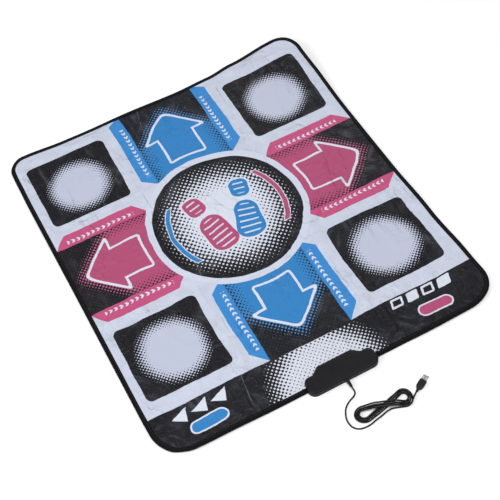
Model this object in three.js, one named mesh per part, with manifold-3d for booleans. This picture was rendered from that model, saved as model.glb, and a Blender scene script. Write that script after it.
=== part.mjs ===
// A soft dance mat with ten pressed buttons, a control box clamped on one edge and a plug lead.
// The origin is the middle of the mat's underside. +Y runs to the control box, which is where
// the player faces, +X to the player's right and +Z up. All lengths are in millimetres.

import * as THREE from 'three';
import Module from 'manifold-3d';
import { mergeVertices } from 'three/addons/utils/BufferGeometryUtils.js';

const wasm = await Module();
wasm.setup();

// Mat outline
const matWidth = 815;
const matLength = 925;
const boxEdgeRadius = 58;
const farEdgeRadius = 42;
const bindingWidth = 10;

// Layers, from the floor up
const sheetThickness = 0.8;
const foamThickness = 2;
const filmThickness = 0.2;
const traceThickness = 0.1;
const spacerThickness = 1.2;
const laidGap = 0.1;
const fitGap = 0.3;

// Printed layout: the band at the box edge, and the disc's place in the field between the band
// and the far edge
const bandDepth = 107.5;
const discOffset = 11.25;

// Buttons: inner edges from the middle of the disc, outer edges from the field's edges
const arrowPadWidth = 196;
const arrowPadInner = 200;
const arrowPadRadius = 12;
const cornerPadInnerX = 168;
const cornerPadInnerY = 164.5;
const cornerPadRadius = 14;
const sideBorder = 35.5;
const bandBorder = 25.5;
const farBorder = 48;
const cornerSetInX = 2;
const cornerSetInY = 10.5;
const pillWidth = 87;
const pillDepth = 32;
const pillToSide = 130.5;
const pillToBoxEdge = 45;
const contactBorder = 9;
const mostBorderShare = 0.25;

// Printed tracks on the lower film
const trackWidth = 3;
const trunkToCornerPad = 17;
const tailWidth = 48;
const patchBorder = 14;

// Control box
const boxX = -16.5;
const boxWidth = 174;
const boxDepth = 56.5;
const boxHeight = 16;
const boxOverhang = 16;
const boxShoulderDepth = 43;
const boxShoulderSetIn = 29;
const boxNoseSetIn = 46;
const boxCornerRadius = 17;
const boxShoulderRadius = 13;
const boxShoulderTaper = 6;
const boxNoseRadius = 3;
const boxEdgeBevel = 2.2;
const boxWall = 2;
const boxRoof = 2;
const boxFloor = 1.5;
const tongueSeat = 5;

// Case screws, two at the outer corners and two at the shoulders
const caseScrewRadius = 1.2;
const caseScrewHeadRadius = 2.6;
const caseScrewHeadHeight = 1.2;
const caseScrewHeadSink = 0.3;
const caseScrewReach = 8;
const caseBossWall = 2;
const outerScrewSetIn = 11;
const outerScrewInset = 12;
const shoulderScrewSetIn = 15;
const shoulderScrewInset = 32;

// Circuit board and what stands on it
const boardSetIn = 27;
const boardDepth = 28;
const boardThickness = 1.6;
const boardInset = 6;
const boardScrewRadius = 0.8;
const boardScrewHeadRadius = 2;
const boardScrewHeadHeight = 1.2;
const boardScrewSetIn = 6;
const boardScrewInset = 11;
const boardPostWall = 1.9;
const stripDepth = 6;
const tailLap = 8;
const chipSize = 14;
const chipHeight = 1.6;
const chipPlaceShare = 0.2;
const crystalLength = 11;
const crystalWidth = 4.6;
const crystalHeight = 3.6;
const crystalPlaceShare = 0.35;
const capacitorRadius = 2.5;
const capacitorHeight = 7;
const capacitorPlaceShare = -0.25;
const headerWidth = 12;
const headerDepth = 6;
const headerHeight = 6;

// Cable and its sleeve in the box wall
const cordDiameter = 3.6;
const cableSideways = -0.5;
const cableHeight = 8;
const reliefRadius = 4;
const reliefTipRadius = 2.8;
const reliefLength = 18;
const reliefFlangeRadius = 5.5;
const reliefFlangeThickness = 1.6;

// Lead from the sleeve's tip to the hank. It, the hank and the tail are placed from that tip.
const leadRoute = [
  [0, 0.3, 8],
  [0, 5, 7.4],
  [-0.8, 10, 4.8],
  [0.7, 15, 2.6],
  [7.4, 19.9, 1.85],
  [17.4, 23.7, 1.8],
  [27.4, 29.1, 1.8],
  [35.6, 36.3, 1.8],
  [41.4, 45.5, 1.8],
  [45.6, 55.5, 1.8],
  [47, 65.5, 1.8],
  [45.4, 76.5, 1.8],
  [39.6, 85.3, 1.8],
  [30.4, 90.5, 1.8],
  [19.4, 92.3, 1.8],
  [7.4, 91.7, 1.8],
  [-5, 89.1, 1.8],
  [-20, 84.3, 1.8],
  [-35, 79.4, 1.8],
  [-46, 78.4, 1.8],
  [-54, 79.9, 1.8],
  [-62.5, 83, 1.8],
  [-71.1, 86.5, 1.8],
];

// Hank: a bow of loops laid in two layers, each loop beside the last
const hankX = -35.8;
const hankY = 66.9;
const hankTilt = THREE.MathUtils.degToRad(-4.3);
const hankLobeSpacing = 92;
const hankLobeRadius = 13.5;
const hankPitch = 4.4;
const hankLoopsInLayer = 2.5;
const hankLayerRise = 4.15;
const hankArcSteps = 8;
const hankRunSteps = 4;
const hankSides = 6;
const hankEndTurn = THREE.MathUtils.degToRad(50);

// Tail from the hank to the plug, and the plug
const tailRoute = [
  [-94.2, 85.1, 5.9],
  [-99, 82.5, 5.2],
  [-105, 79.2, 4.2],
  [-111, 75.9, 4],
];
const plugHeading = THREE.MathUtils.degToRad(209);
const plugNeckLength = 8;
const plugNeckTipRadius = 2.5;
const plugNeckRadius = 3.7;
const plugBodyLength = 23;
const plugBodyWidth = 15.6;
const plugBodyThickness = 8;
const plugBodyRadius = 3;
const plugBodyBevel = 1.2;
const plugShellLength = 12;
const plugShellWidth = 12;
const plugShellHeight = 4.5;
const plugShellWall = 0.3;
const plugInsertHeight = 1.9;
const plugInsertSetback = 0.6;
const plugInsertGap = 0.2;

// Fineness of round stretches, and how far a cutter passes the face that it cuts
const arcSegments = 2;
const fineArcSegments = 3;
const roundSegments = 16;
const tubeSides = 8;
const tubeStep = 9;
const gapTestSteps = 6;
const gapTestReach = 15;
const weldTolerance = 0.0001;
const overrun = 1;

// Heights of the layers
const foamZ = sheetThickness + laidGap;
const lowerFilmZ = foamZ + foamThickness + laidGap;
const traceZ = lowerFilmZ + filmThickness + laidGap;
const spacerZ = traceZ + traceThickness + laidGap;
const upperFilmZ = spacerZ + spacerThickness + laidGap;
const topSheetZ = upperFilmZ + filmThickness + laidGap;
const topSheetTop = topSheetZ + sheetThickness;
const bindingTop = topSheetTop + laidGap + sheetThickness;

// Places that follow from the sizes above
const fieldLength = matLength - bandDepth;
const discToBand = fieldLength / 2 - discOffset;
const discY = matLength / 2 - bandDepth - discToBand;
const padEdgeX = matWidth / 2 - sideBorder;
const padEdgeUp = discToBand - bandBorder;
const padEdgeDown = fieldLength - discToBand - farBorder;
const trunkX = cornerPadInnerX - trunkToCornerPad;
const boxFaceY = matLength / 2 + boxOverhang;
const boxRim = lowerFilmZ - laidGap;
const boxPartingZ = boxRim + fitGap;
const tongueEndY = boxFaceY - boxShoulderDepth + tongueSeat;
const boardZ = traceZ + traceThickness + laidGap;
const boardTop = boardZ + boardThickness;
const boardInnerY = boxFaceY - boardInset - boardDepth;
const boardWidth = boxWidth - 2 * boardSetIn;
const tailEndY = boardInnerY + tailLap;
const cableX = boxX + cableSideways;
const cordRadius = cordDiameter / 2;

const colours = {
  blue: new THREE.MeshStandardMaterial({ color: 0x3c87cd, roughness: 0.45 }),
  pink: new THREE.MeshStandardMaterial({ color: 0xc84b7d, roughness: 0.45 }),
  black: new THREE.MeshStandardMaterial({ color: 0x26262a, roughness: 0.5 }),
  lilac: new THREE.MeshStandardMaterial({ color: 0xd6dcec, roughness: 0.45 }),
  backing: new THREE.MeshStandardMaterial({ color: 0x2b2b2e, roughness: 0.85 }),
  foam: new THREE.MeshStandardMaterial({ color: 0xe9e7df, roughness: 0.95 }),
  film: new THREE.MeshStandardMaterial({ color: 0xdfe3e2, roughness: 0.3 }),
  carbon: new THREE.MeshStandardMaterial({ color: 0x1c1d20, roughness: 0.6 }),
  tape: new THREE.MeshStandardMaterial({ color: 0x1d1d20, roughness: 0.75 }),
  casing: new THREE.MeshStandardMaterial({ color: 0x232327, roughness: 0.55 }),
  board: new THREE.MeshStandardMaterial({ color: 0x1f6a3f, roughness: 0.5 }),
  chip: new THREE.MeshStandardMaterial({ color: 0x17181a, roughness: 0.5 }),
  rubber: new THREE.MeshStandardMaterial({ color: 0x2a2a2c, roughness: 0.9 }),
  steel: new THREE.MeshStandardMaterial({ color: 0xb9bcc0, roughness: 0.3, metalness: 1 }),
  nylon: new THREE.MeshStandardMaterial({ color: 0xe8e6e0, roughness: 0.5 }),
  cord: new THREE.MeshStandardMaterial({ color: 0x161618, roughness: 0.5 }),
};

const group = new THREE.Group();

// Solids and meshes

function solidFrom(geometry) {
  const bare = geometry.clone();
  bare.deleteAttribute('normal');
  bare.deleteAttribute('uv');
  const welded = mergeVertices(bare, weldTolerance);
  const mesh = new wasm.Mesh({
    numProp: 3,
    vertProperties: new Float32Array(welded.attributes.position.array),
    triVerts: new Uint32Array(welded.index.array),
  });
  return new wasm.Manifold(mesh);
}

function geometryFrom(solid) {
  const mesh = solid.getMesh();
  const geometry = new THREE.BufferGeometry();
  const positions = new Float32Array(mesh.vertProperties);
  geometry.setAttribute('position', new THREE.BufferAttribute(positions, 3));
  geometry.setIndex(new THREE.BufferAttribute(new Uint32Array(mesh.triVerts), 1));
  geometry.computeVertexNormals();
  return geometry;
}

function joined(...geometries) {
  return geometryFrom(geometries.map(solidFrom).reduce((sum, next) => sum.add(next)));
}

function cut(geometry, ...cutters) {
  const start = solidFrom(geometry);
  return geometryFrom(cutters.map(solidFrom).reduce((rest, next) => rest.subtract(next), start));
}

function addPiece(name, geometry, material, z = 0, parent = group) {
  const mesh = new THREE.Mesh(geometry, material);
  mesh.name = name;
  mesh.position.z = z;
  parent.add(mesh);
  return mesh;
}

// Outlines: each corner is [x, y, radius], counterclockwise, and grow moves the whole line out

function roundedShape(corners, grow = 0) {
  const count = corners.length;
  const points = corners.map(([x, y]) => new THREE.Vector2(x, y));
  const edges = points.map((point, i) => {
    return points[(i + 1) % count].clone().sub(point).normalize();
  });
  const shape = new THREE.Shape();
  corners.forEach(([, , radius], i) => {
    const before = edges[(i + count - 1) % count];
    const after = edges[i];
    const outward = new THREE.Vector2(before.y + after.y, -before.x - after.x);
    const middle = points[i].clone().addScaledVector(outward, grow / (1 + before.dot(after)));
    const leftTurn = before.cross(after) > 0;
    const side = leftTurn ? 1 : -1;
    const turned = Math.max(radius + side * grow, 0);
    const tangent = turned * Math.tan(Math.acos(before.dot(after)) / 2);
    const start = middle.clone().addScaledVector(before, -tangent);
    const centre = new THREE.Vector2(-before.y, before.x).multiplyScalar(side * turned).add(start);
    const end = middle.clone().addScaledVector(after, tangent);
    if (i === 0) {
      shape.moveTo(start.x, start.y);
    } else {
      shape.lineTo(start.x, start.y);
    }
    if (turned > 0) {
      const from = Math.atan2(start.y - centre.y, start.x - centre.x);
      const to = Math.atan2(end.y - centre.y, end.x - centre.x);
      shape.absarc(centre.x, centre.y, turned, from, to, !leftTurn);
    }
  });
  shape.closePath();
  return shape;
}

function rectangleCorners(x, y, width, depth, nearRadius = 0, farRadius = nearRadius) {
  return [
    [x - width / 2, y - depth / 2, nearRadius],
    [x + width / 2, y - depth / 2, nearRadius],
    [x + width / 2, y + depth / 2, farRadius],
    [x - width / 2, y + depth / 2, farRadius],
  ];
}

function matCorners() {
  return rectangleCorners(0, 0, matWidth, matLength, farEdgeRadius, boxEdgeRadius);
}

function boxCorners() {
  const noseY = boxFaceY - boxDepth;
  const shoulderY = boxFaceY - boxShoulderDepth;
  const half = boxWidth / 2;
  const rightSide = [
    [half - boxNoseSetIn, noseY, boxNoseRadius],
    [half - boxShoulderSetIn, shoulderY, boxNoseRadius],
    [half - boxShoulderTaper, shoulderY, boxShoulderRadius],
    [half, boxFaceY, boxCornerRadius],
  ];
  const leftSide = rightSide.map(([x, y, radius]) => [-x, y, radius]).reverse();
  return [...rightSide, ...leftSide].map(([x, y, radius]) => [boxX + x, y, radius]);
}

// Basic forms

function prism(shape, thickness, curveSegments = arcSegments) {
  return new THREE.ExtrudeGeometry(shape, { depth: thickness, bevelEnabled: false, curveSegments });
}

function block(x, y, z, width, depth, height) {
  return new THREE.BoxGeometry(width, depth, height).translate(x, y, z + height / 2);
}

function rod(x, y, z, radius, height) {
  const geometry = new THREE.CylinderGeometry(radius, radius, height, roundSegments);
  return geometry.rotateX(Math.PI / 2).translate(x, y, z + height / 2);
}

function turned(profile) {
  const points = profile.map(([radius, height]) => new THREE.Vector2(radius, height));
  return new THREE.LatheGeometry(points, roundSegments);
}

// Buttons

function padBetween(name, colour, radius, [lowX, highX], [lowY, highY]) {
  const x = (lowX + highX) / 2;
  const y = discY + (lowY + highY) / 2;
  return { name, colour, radius, x, y, width: highX - lowX, depth: highY - lowY };
}

function mirrored([low, high]) {
  return [-high, -low];
}

const arrowAcross = [-arrowPadWidth / 2, arrowPadWidth / 2];
const arrowSide = [arrowPadInner, padEdgeX];
const cornerX = [cornerPadInnerX, padEdgeX - cornerSetInX];
const cornerUp = [cornerPadInnerY, padEdgeUp - cornerSetInY];
const cornerDown = mirrored([cornerPadInnerY, padEdgeDown - cornerSetInY]);
const pillMiddle = matWidth / 2 - pillToSide;
const pillX = [pillMiddle - pillWidth / 2, pillMiddle + pillWidth / 2];
const pillEdge = discToBand + bandDepth - pillToBoxEdge;
const pillY = [pillEdge - pillDepth / 2, pillEdge + pillDepth / 2];
const { blue, pink, black } = colours;
const buttons = [
  padBetween('up', blue, arrowPadRadius, arrowAcross, [arrowPadInner, padEdgeUp]),
  padBetween('down', blue, arrowPadRadius, arrowAcross, mirrored([arrowPadInner, padEdgeDown])),
  padBetween('left', pink, arrowPadRadius, mirrored(arrowSide), arrowAcross),
  padBetween('right', pink, arrowPadRadius, arrowSide, arrowAcross),
  padBetween('up_left', black, cornerPadRadius, mirrored(cornerX), cornerUp),
  padBetween('up_right', black, cornerPadRadius, cornerX, cornerUp),
  padBetween('down_left', black, cornerPadRadius, mirrored(cornerX), cornerDown),
  padBetween('down_right', black, cornerPadRadius, cornerX, cornerDown),
  padBetween('start', blue, pillDepth / 2, pillX, pillY),
  padBetween('select', pink, pillDepth / 2, mirrored(pillX), pillY),
];

function buttonShape(button, grow = 0) {
  const { x, y, width, depth, radius } = button;
  return roundedShape(rectangleCorners(x, y, width, depth, radius), grow);
}

// Mat layers

function boxNotch() {
  return prism(roundedShape(boxCorners(), fitGap), boxHeight).translate(0, 0, -boxHeight / 2);
}

function tongueNotch() {
  const deep = 2 * boxDepth;
  const ahead = block(boxX, tongueEndY - deep / 2, -boxHeight, 2 * boxWidth, deep, 2 * boxHeight);
  return cut(boxNotch(), ahead);
}

function matSheet(inset, thickness) {
  return prism(roundedShape(matCorners(), -inset), thickness, fineArcSegments);
}

function windowedSheet(thickness) {
  const shape = roundedShape(matCorners(), -sheetThickness - fitGap);
  shape.holes = buttons.map((button) => buttonShape(button, fitGap));
  return cut(prism(shape, thickness, fineArcSegments), tongueNotch());
}

function addMatLayers() {
  const edgeInset = sheetThickness + fitGap;
  const backing = cut(matSheet(bindingWidth + fitGap, sheetThickness), boxNotch());
  addPiece('bottom_sheet', backing, colours.backing);
  const foam = cut(matSheet(edgeInset, foamThickness), boxNotch());
  addPiece('foam_pad', foam, colours.foam, foamZ);
  const film = cut(matSheet(edgeInset, filmThickness), tongueNotch());
  const tailStartY = tongueEndY - tongueSeat;
  const tailLength = tailEndY - tailStartY;
  const tailY = tailStartY + tailLength / 2;
  const tail = block(boxX, tailY, 0, tailWidth, tailLength, filmThickness);
  addPiece('lower_circuit_film', joined(film, tail), colours.film, lowerFilmZ);
  addPiece('sensor_traces', traces(), colours.carbon, traceZ);
  addPiece('spacer_sheet', windowedSheet(spacerThickness), colours.foam, spacerZ);
  addPiece('upper_circuit_film', windowedSheet(filmThickness), colours.film, upperFilmZ);
  addPiece('top_sheet', windowedSheet(sheetThickness), colours.lilac, topSheetZ);
  addPiece('edge_binding', binding(), colours.tape);
}

function binding() {
  const outside = matSheet(0, bindingTop);
  const hollow = matSheet(sheetThickness, bindingTop - 2 * sheetThickness);
  hollow.translate(0, 0, sheetThickness);
  const opening = matSheet(bindingWidth, bindingTop + 2 * overrun).translate(0, 0, -overrun);
  return cut(outside, hollow, opening, boxNotch());
}

function plate(lowX, lowY, highX, highY, thickness) {
  const corners = [[lowX, lowY], [highX, lowY], [highX, highY], [lowX, highY]];
  const shape = new THREE.Shape(corners.map(([x, y]) => new THREE.Vector2(x, y)));
  return prism(shape, thickness);
}

function track(x0, y0, x1, y1) {
  const half = trackWidth / 2;
  return plate(
    Math.min(x0, x1) - half, Math.min(y0, y1) - half,
    Math.max(x0, x1) + half, Math.max(y0, y1) + half, traceThickness,
  );
}

// Every button has a patch. Two trunks join the patches to the fingers on the tail.

function traces() {
  const patches = buttons.map(({ x, y, width, depth }) => {
    const border = Math.min(patchBorder, depth * mostBorderShare);
    const halfWidth = width / 2 - border;
    const halfDepth = depth / 2 - border;
    return plate(x - halfWidth, y - halfDepth, x + halfWidth, y + halfDepth, traceThickness);
  });
  const heights = buttons.map(({ y }) => y);
  const linkY = boxFaceY - boxDepth - tailLap;
  const trunks = [-trunkX, trunkX].map((x) => {
    return track(x, Math.min(...heights), x, Math.max(...heights));
  });
  const link = track(-trunkX, linkY, trunkX, linkY);
  const branches = buttons.map(({ x, y }) => {
    return x === 0 ? track(-trunkX, y, trunkX, y) : track(Math.sign(x) * trunkX, y, x, y);
  });
  const fingerHalf = tailWidth / 2 - 2 * trackWidth;
  const fingers = [-fingerHalf, 0, fingerHalf].map((x) => {
    return track(boxX + x, linkY, boxX + x, tailEndY - trackWidth);
  });
  return joined(...patches, ...trunks, link, ...branches, ...fingers);
}

function addButtons() {
  for (const button of buttons) {
    const pad = prism(buttonShape(button), sheetThickness);
    addPiece(`pad_${button.name}`, pad, button.colour, topSheetZ);
    const { x, y, width, depth } = button;
    const border = Math.min(contactBorder, depth * mostBorderShare);
    const contactWidth = width - 2 * border;
    const contactDepth = depth - 2 * border;
    const contact = block(x, y, 0, contactWidth, contactDepth, filmThickness);
    addPiece(`contact_${button.name}`, contact, colours.carbon, upperFilmZ);
  }
}

// Control box

const caseScrewPlaces = [
  [outerScrewSetIn, outerScrewInset],
  [shoulderScrewSetIn, shoulderScrewInset],
].flatMap(([setIn, inset]) => [-1, 1].map((side) => {
  return [boxX + side * (boxWidth / 2 - setIn), boxFaceY - inset];
}));

const boardScrewPlaces = [-1, 1].map((side) => {
  return [boxX + side * (boardWidth / 2 - boardScrewSetIn), boxFaceY - boardScrewInset];
});

const caseHoleRadius = caseScrewRadius + fitGap;
const caseBossRadius = caseHoleRadius + caseBossWall;
const caseSeatZ = caseScrewHeadSink + caseScrewHeadHeight;
const boardHoleRadius = boardScrewRadius + fitGap;

function topCover() {
  const bevel = boxEdgeBevel;
  const outside = new THREE.ExtrudeGeometry(roundedShape(boxCorners(), -bevel), {
    depth: boxHeight,
    bevelThickness: bevel,
    bevelSize: bevel,
    bevelSegments: fineArcSegments,
    curveSegments: fineArcSegments,
  });
  outside.translate(0, 0, -bevel);
  const cavityTop = boxHeight - boxRoof;
  const cavity = prism(roundedShape(boxCorners(), -boxWall), cavityTop + overrun, fineArcSegments);
  cavity.translate(0, 0, -overrun);
  const below = boxPartingZ + 2 * bevel;
  const wide = boxWidth + 2 * overrun;
  const deep = 2 * boxDepth;
  const underside = block(boxX, boxFaceY - boxDepth, -2 * bevel, wide, 2 * deep, below);
  const slotDeep = tongueEndY + fitGap - (boxFaceY - boxDepth) + overrun;
  const slotY = tongueEndY + fitGap - slotDeep / 2;
  const slotHeight = topSheetTop + fitGap - boxPartingZ + overrun;
  const slot = block(boxX, slotY, boxPartingZ - overrun, wide, slotDeep, slotHeight);
  const sleeveHole = rod(0, 0, 0, reliefRadius + fitGap, boxWall + 2 * overrun);
  sleeveHole.rotateX(Math.PI / 2).translate(cableX, boxFaceY + overrun, cableHeight);
  const bossHeight = boxHeight - boxRoof / 2 - boxPartingZ;
  const bosses = caseScrewPlaces.map(([x, y]) => {
    return rod(x, y, boxPartingZ, caseBossRadius, bossHeight);
  });
  const holes = caseScrewPlaces.map(([x, y]) => {
    return rod(x, y, 0, caseHoleRadius, caseSeatZ + caseScrewReach + fitGap);
  });
  const shell = cut(outside, underside, cavity, slot, sleeveHole);
  return cut(joined(shell, ...bosses), ...holes);
}

function bottomCover() {
  const plate = prism(roundedShape(boxCorners()), boxRim, fineArcSegments);
  const pocket = prism(roundedShape(boxCorners(), -boxWall), boxRim, fineArcSegments);
  pocket.translate(0, 0, boxFloor);
  const bosses = caseScrewPlaces.map(([x, y]) => rod(x, y, 0, caseBossRadius, boxRim));
  const postHeight = boardZ - laidGap;
  const postRadius = boardHoleRadius + boardPostWall;
  const posts = boardScrewPlaces.map(([x, y]) => rod(x, y, 0, postRadius, postHeight));
  const caseHoles = caseScrewPlaces.map(([x, y]) => {
    return rod(x, y, -overrun, caseHoleRadius, boxRim + 2 * overrun);
  });
  const headHoles = caseScrewPlaces.map(([x, y]) => {
    return rod(x, y, -overrun, caseScrewHeadRadius + fitGap, caseSeatZ + overrun);
  });
  const postHoles = boardScrewPlaces.map(([x, y]) => {
    return rod(x, y, boxFloor / 2, boardHoleRadius, postHeight);
  });
  const body = joined(cut(plate, pocket), ...bosses, ...posts);
  return cut(body, ...caseHoles, ...headHoles, ...postHoles);
}

function addControlBox() {
  addPiece('box_bottom_cover', bottomCover(), colours.casing);
  addPiece('box_top_cover', topCover(), colours.casing);
  caseScrewPlaces.forEach(([x, y], i) => {
    const screw = turned([
      [0, 0],
      [caseScrewHeadRadius, 0],
      [caseScrewHeadRadius, caseScrewHeadHeight],
      [caseScrewRadius, caseScrewHeadHeight],
      [caseScrewRadius, caseScrewHeadHeight + caseScrewReach],
      [0, caseScrewHeadHeight + caseScrewReach],
    ]);
    screw.rotateX(Math.PI / 2).translate(x, y, 0);
    addPiece(`case_screw_${i + 1}`, screw, colours.steel, caseSeatZ - laidGap - caseScrewHeadHeight);
  });
  addBoard();
  addSleeve();
}

function addBoard() {
  const boardY = boardInnerY + boardDepth / 2;
  const plate = block(boxX, boardY, 0, boardWidth, boardDepth, boardThickness);
  const holes = boardScrewPlaces.map(([x, y]) => {
    return rod(x, y, -overrun, boardHoleRadius, boardThickness + 2 * overrun);
  });
  addPiece('circuit_board', cut(plate, ...holes), colours.board, boardZ);
  const shankLength = boardTop + laidGap - boxFloor;
  boardScrewPlaces.forEach(([x, y], i) => {
    const screw = turned([
      [0, 0],
      [boardScrewRadius, 0],
      [boardScrewRadius, shankLength],
      [boardScrewHeadRadius, shankLength],
      [boardScrewHeadRadius, shankLength + boardScrewHeadHeight],
      [0, shankLength + boardScrewHeadHeight],
    ]);
    screw.rotateX(Math.PI / 2).translate(x, y, 0);
    addPiece(`board_screw_${i + 1}`, screw, colours.steel, boxFloor);
  });
  const stripHeight = boxRim - boxFloor - laidGap;
  const stripY = tailEndY - tailLap / 2;
  const strip = block(boxX, stripY, 0, tailWidth, stripDepth, stripHeight);
  addPiece('pressure_strip', strip, colours.rubber, boxFloor + laidGap);
  const onBoard = boardTop + laidGap;
  const chip = block(boxX + chipPlaceShare * boardWidth, boardY, 0, chipSize, chipSize, chipHeight);
  addPiece('controller_chip', chip, colours.chip, onBoard);
  const crystalCorners = rectangleCorners(
    boxX + crystalPlaceShare * boardWidth, boardY, crystalLength, crystalWidth, crystalWidth / 2,
  );
  const crystal = prism(roundedShape(crystalCorners), crystalHeight, fineArcSegments);
  addPiece('crystal', crystal, colours.steel, onBoard);
  const capacitorX = boxX + capacitorPlaceShare * boardWidth;
  const capacitor = rod(capacitorX, boardY, 0, capacitorRadius, capacitorHeight);
  addPiece('capacitor', capacitor, colours.chip, onBoard);
  const header = block(cableX, boardY, 0, headerWidth, headerDepth, headerHeight);
  addPiece('cable_header', header, colours.nylon, onBoard);
}

// The sleeve is clipped in the outer wall, with its flange behind the wall.

function addSleeve() {
  const neckLength = boxWall + fitGap;
  const flangeStart = -neckLength - reliefFlangeThickness;
  const sleeve = turned([
    [0, flangeStart],
    [reliefFlangeRadius, flangeStart],
    [reliefFlangeRadius, -neckLength],
    [reliefRadius, -neckLength],
    [reliefRadius, 0],
    [reliefTipRadius, reliefLength],
    [0, reliefLength],
  ]);
  sleeve.translate(cableX, boxFaceY, cableHeight);
  addPiece('strain_relief', sleeve, colours.rubber);
  const stubStartY = boxFaceY + flangeStart - fitGap;
  const stubEndY = boardInnerY + boardDepth / 2 + headerDepth / 2 + fitGap;
  const stub = rod(0, 0, 0, cordRadius, stubStartY - stubEndY);
  stub.rotateX(Math.PI / 2).translate(cableX, stubStartY, cableHeight);
  addPiece('inner_lead', stub, colours.cord);
}

// Lead, hank and plug

function freeTube(route) {
  const curve = new THREE.CatmullRomCurve3(route.map((point) => new THREE.Vector3(...point)));
  const section = new THREE.Shape();
  section.setFromPoints(Array.from({ length: tubeSides }, (_, i) => {
    const angle = (2 * Math.PI * i) / tubeSides;
    return new THREE.Vector2(cordRadius * Math.cos(angle), cordRadius * Math.sin(angle));
  }));
  const steps = Math.ceil(curve.getLength() / tubeStep);
  const geometry = new THREE.ExtrudeGeometry(section, { steps, extrudePath: curve });
  return { geometry, length: curve.getLength() };
}

// The hank's line goes round the left lobe, along a run, round the right lobe the other way and
// back along a run that crosses the first. A turn counts whole loops.

const hankSlope = Math.asin(2 * hankLobeRadius / hankLobeSpacing);
const hankArcTurn = Math.PI + 2 * hankSlope;
const hankArcShare = hankArcSteps / (2 * (hankArcSteps + hankRunSteps));
const hankRunShare = 0.5 - hankArcShare;
const hankClimbEnd = hankLoopsInLayer + hankArcShare;
const hankLastTurn = 2 * hankLoopsInLayer + hankArcShare * hankEndTurn / hankArcTurn;

function hankLine(turn) {
  const within = turn % 1;
  const onRight = within >= 0.5;
  const mirror = onRight ? 1 : -1;
  const along = onRight ? within - 0.5 : within;
  const arcPart = Math.min(along / hankArcShare, 1);
  const runPart = Math.max(along - hankArcShare, 0) / hankRunShare;
  const angle = hankArcTurn * (0.5 - arcPart);
  const spoke = new THREE.Vector2(mirror * Math.cos(angle), Math.sin(angle));
  const place = new THREE.Vector2(mirror * hankLobeSpacing / 2, 0);
  place.addScaledVector(spoke, hankLobeRadius);
  const heading = new THREE.Vector2(-mirror * Math.cos(hankSlope), Math.sin(hankSlope));
  const runLength = hankLobeSpacing * Math.cos(hankSlope);
  place.addScaledVector(heading, runLength * runPart);
  return { place, left: spoke.multiplyScalar(mirror), runPart, onRight };
}

function hankCentre(turn) {
  const { place, left, runPart, onRight } = hankLine(turn);
  const outPart = Math.min(turn / hankLoopsInLayer, 1);
  const backPart = Math.max(turn - hankClimbEnd, 0) / (hankLastTurn - hankClimbEnd);
  place.addScaledVector(left, hankPitch * hankLoopsInLayer * (outPart - backPart - 0.5));
  place.rotateAround(new THREE.Vector2(), hankTilt);
  const layer = THREE.MathUtils.clamp((turn - hankLoopsInLayer) / hankArcShare, 0, 1);
  const overCrossing = Math.min(1, hankRunSteps * runPart, hankRunSteps * (1 - runPart));
  const level = layer + overCrossing * (layer + (onRight ? 1 : 0));
  return new THREE.Vector3(
    hankX + place.x, hankY + place.y, cordRadius + hankLayerRise * level,
  );
}

function hankRoute() {
  const stepsInLoop = 2 * (hankArcSteps + hankRunSteps);
  const count = Math.floor(hankLastTurn * stepsInLoop);
  const points = Array.from({ length: count + 1 }, (_, i) => hankCentre(i / stepsInLoop));
  points.push(hankCentre(hankLastTurn));
  const entryHeading = Math.PI - hankSlope + hankTilt;
  const ends = [[points[0], entryHeading, -1], [points.at(-1), entryHeading + hankEndTurn, 1]];
  const [entry, exit] = ends.map(([point, heading, way]) => {
    const step = new THREE.Vector3(Math.cos(heading), Math.sin(heading), 0);
    return point.clone().addScaledVector(step, way * cordDiameter);
  });
  return [entry, ...points, exit];
}

function ringTube(points, radius, sides) {
  const up = new THREE.Vector3(0, 0, 1);
  const positions = [];
  points.forEach((point, i) => {
    const before = points[Math.max(i - 1, 0)];
    const after = points[Math.min(i + 1, points.length - 1)];
    const heading = after.clone().sub(before).normalize();
    const side = heading.clone().cross(up).normalize();
    const rise = side.clone().cross(heading);
    for (let k = 0; k < sides; k += 1) {
      const angle = (2 * Math.PI * k) / sides + Math.PI / 2;
      const corner = point.clone();
      corner.addScaledVector(side, radius * Math.cos(angle));
      corner.addScaledVector(rise, radius * Math.sin(angle));
      positions.push(...corner.toArray());
    }
  });
  const faces = [];
  for (let i = 0; i + 1 < points.length; i += 1) {
    for (let k = 0; k < sides; k += 1) {
      const a = i * sides + k;
      const b = i * sides + ((k + 1) % sides);
      faces.push(a, a + sides, b, b, a + sides, b + sides);
    }
  }
  const last = (points.length - 1) * sides;
  for (let k = 1; k + 1 < sides; k += 1) {
    faces.push(0, k, k + 1, last, last + k + 1, last + k);
  }
  const geometry = new THREE.BufferGeometry();
  geometry.setAttribute('position', new THREE.Float32BufferAttribute(positions, 3));
  geometry.setIndex(faces);
  geometry.computeVertexNormals();
  return geometry;
}

// The least gap of a tube to itself, between points more than a tight bend apart along it

function leastGap(points) {
  const fine = [];
  let travelled = 0;
  for (let i = 0; i + 1 < points.length; i += 1) {
    const length = points[i].distanceTo(points[i + 1]);
    for (let k = 0; k < gapTestSteps; k += 1) {
      const part = k / gapTestSteps;
      const place = points[i].clone().lerp(points[i + 1], part);
      fine.push({ place, at: travelled + length * part });
    }
    travelled += length;
  }
  let least = Infinity;
  fine.forEach((one, i) => {
    for (const other of fine.slice(i + 1)) {
      if (other.at - one.at > gapTestReach) {
        least = Math.min(least, one.place.distanceTo(other.place));
      }
    }
  });
  return { gap: least - cordDiameter, length: travelled };
}

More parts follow.
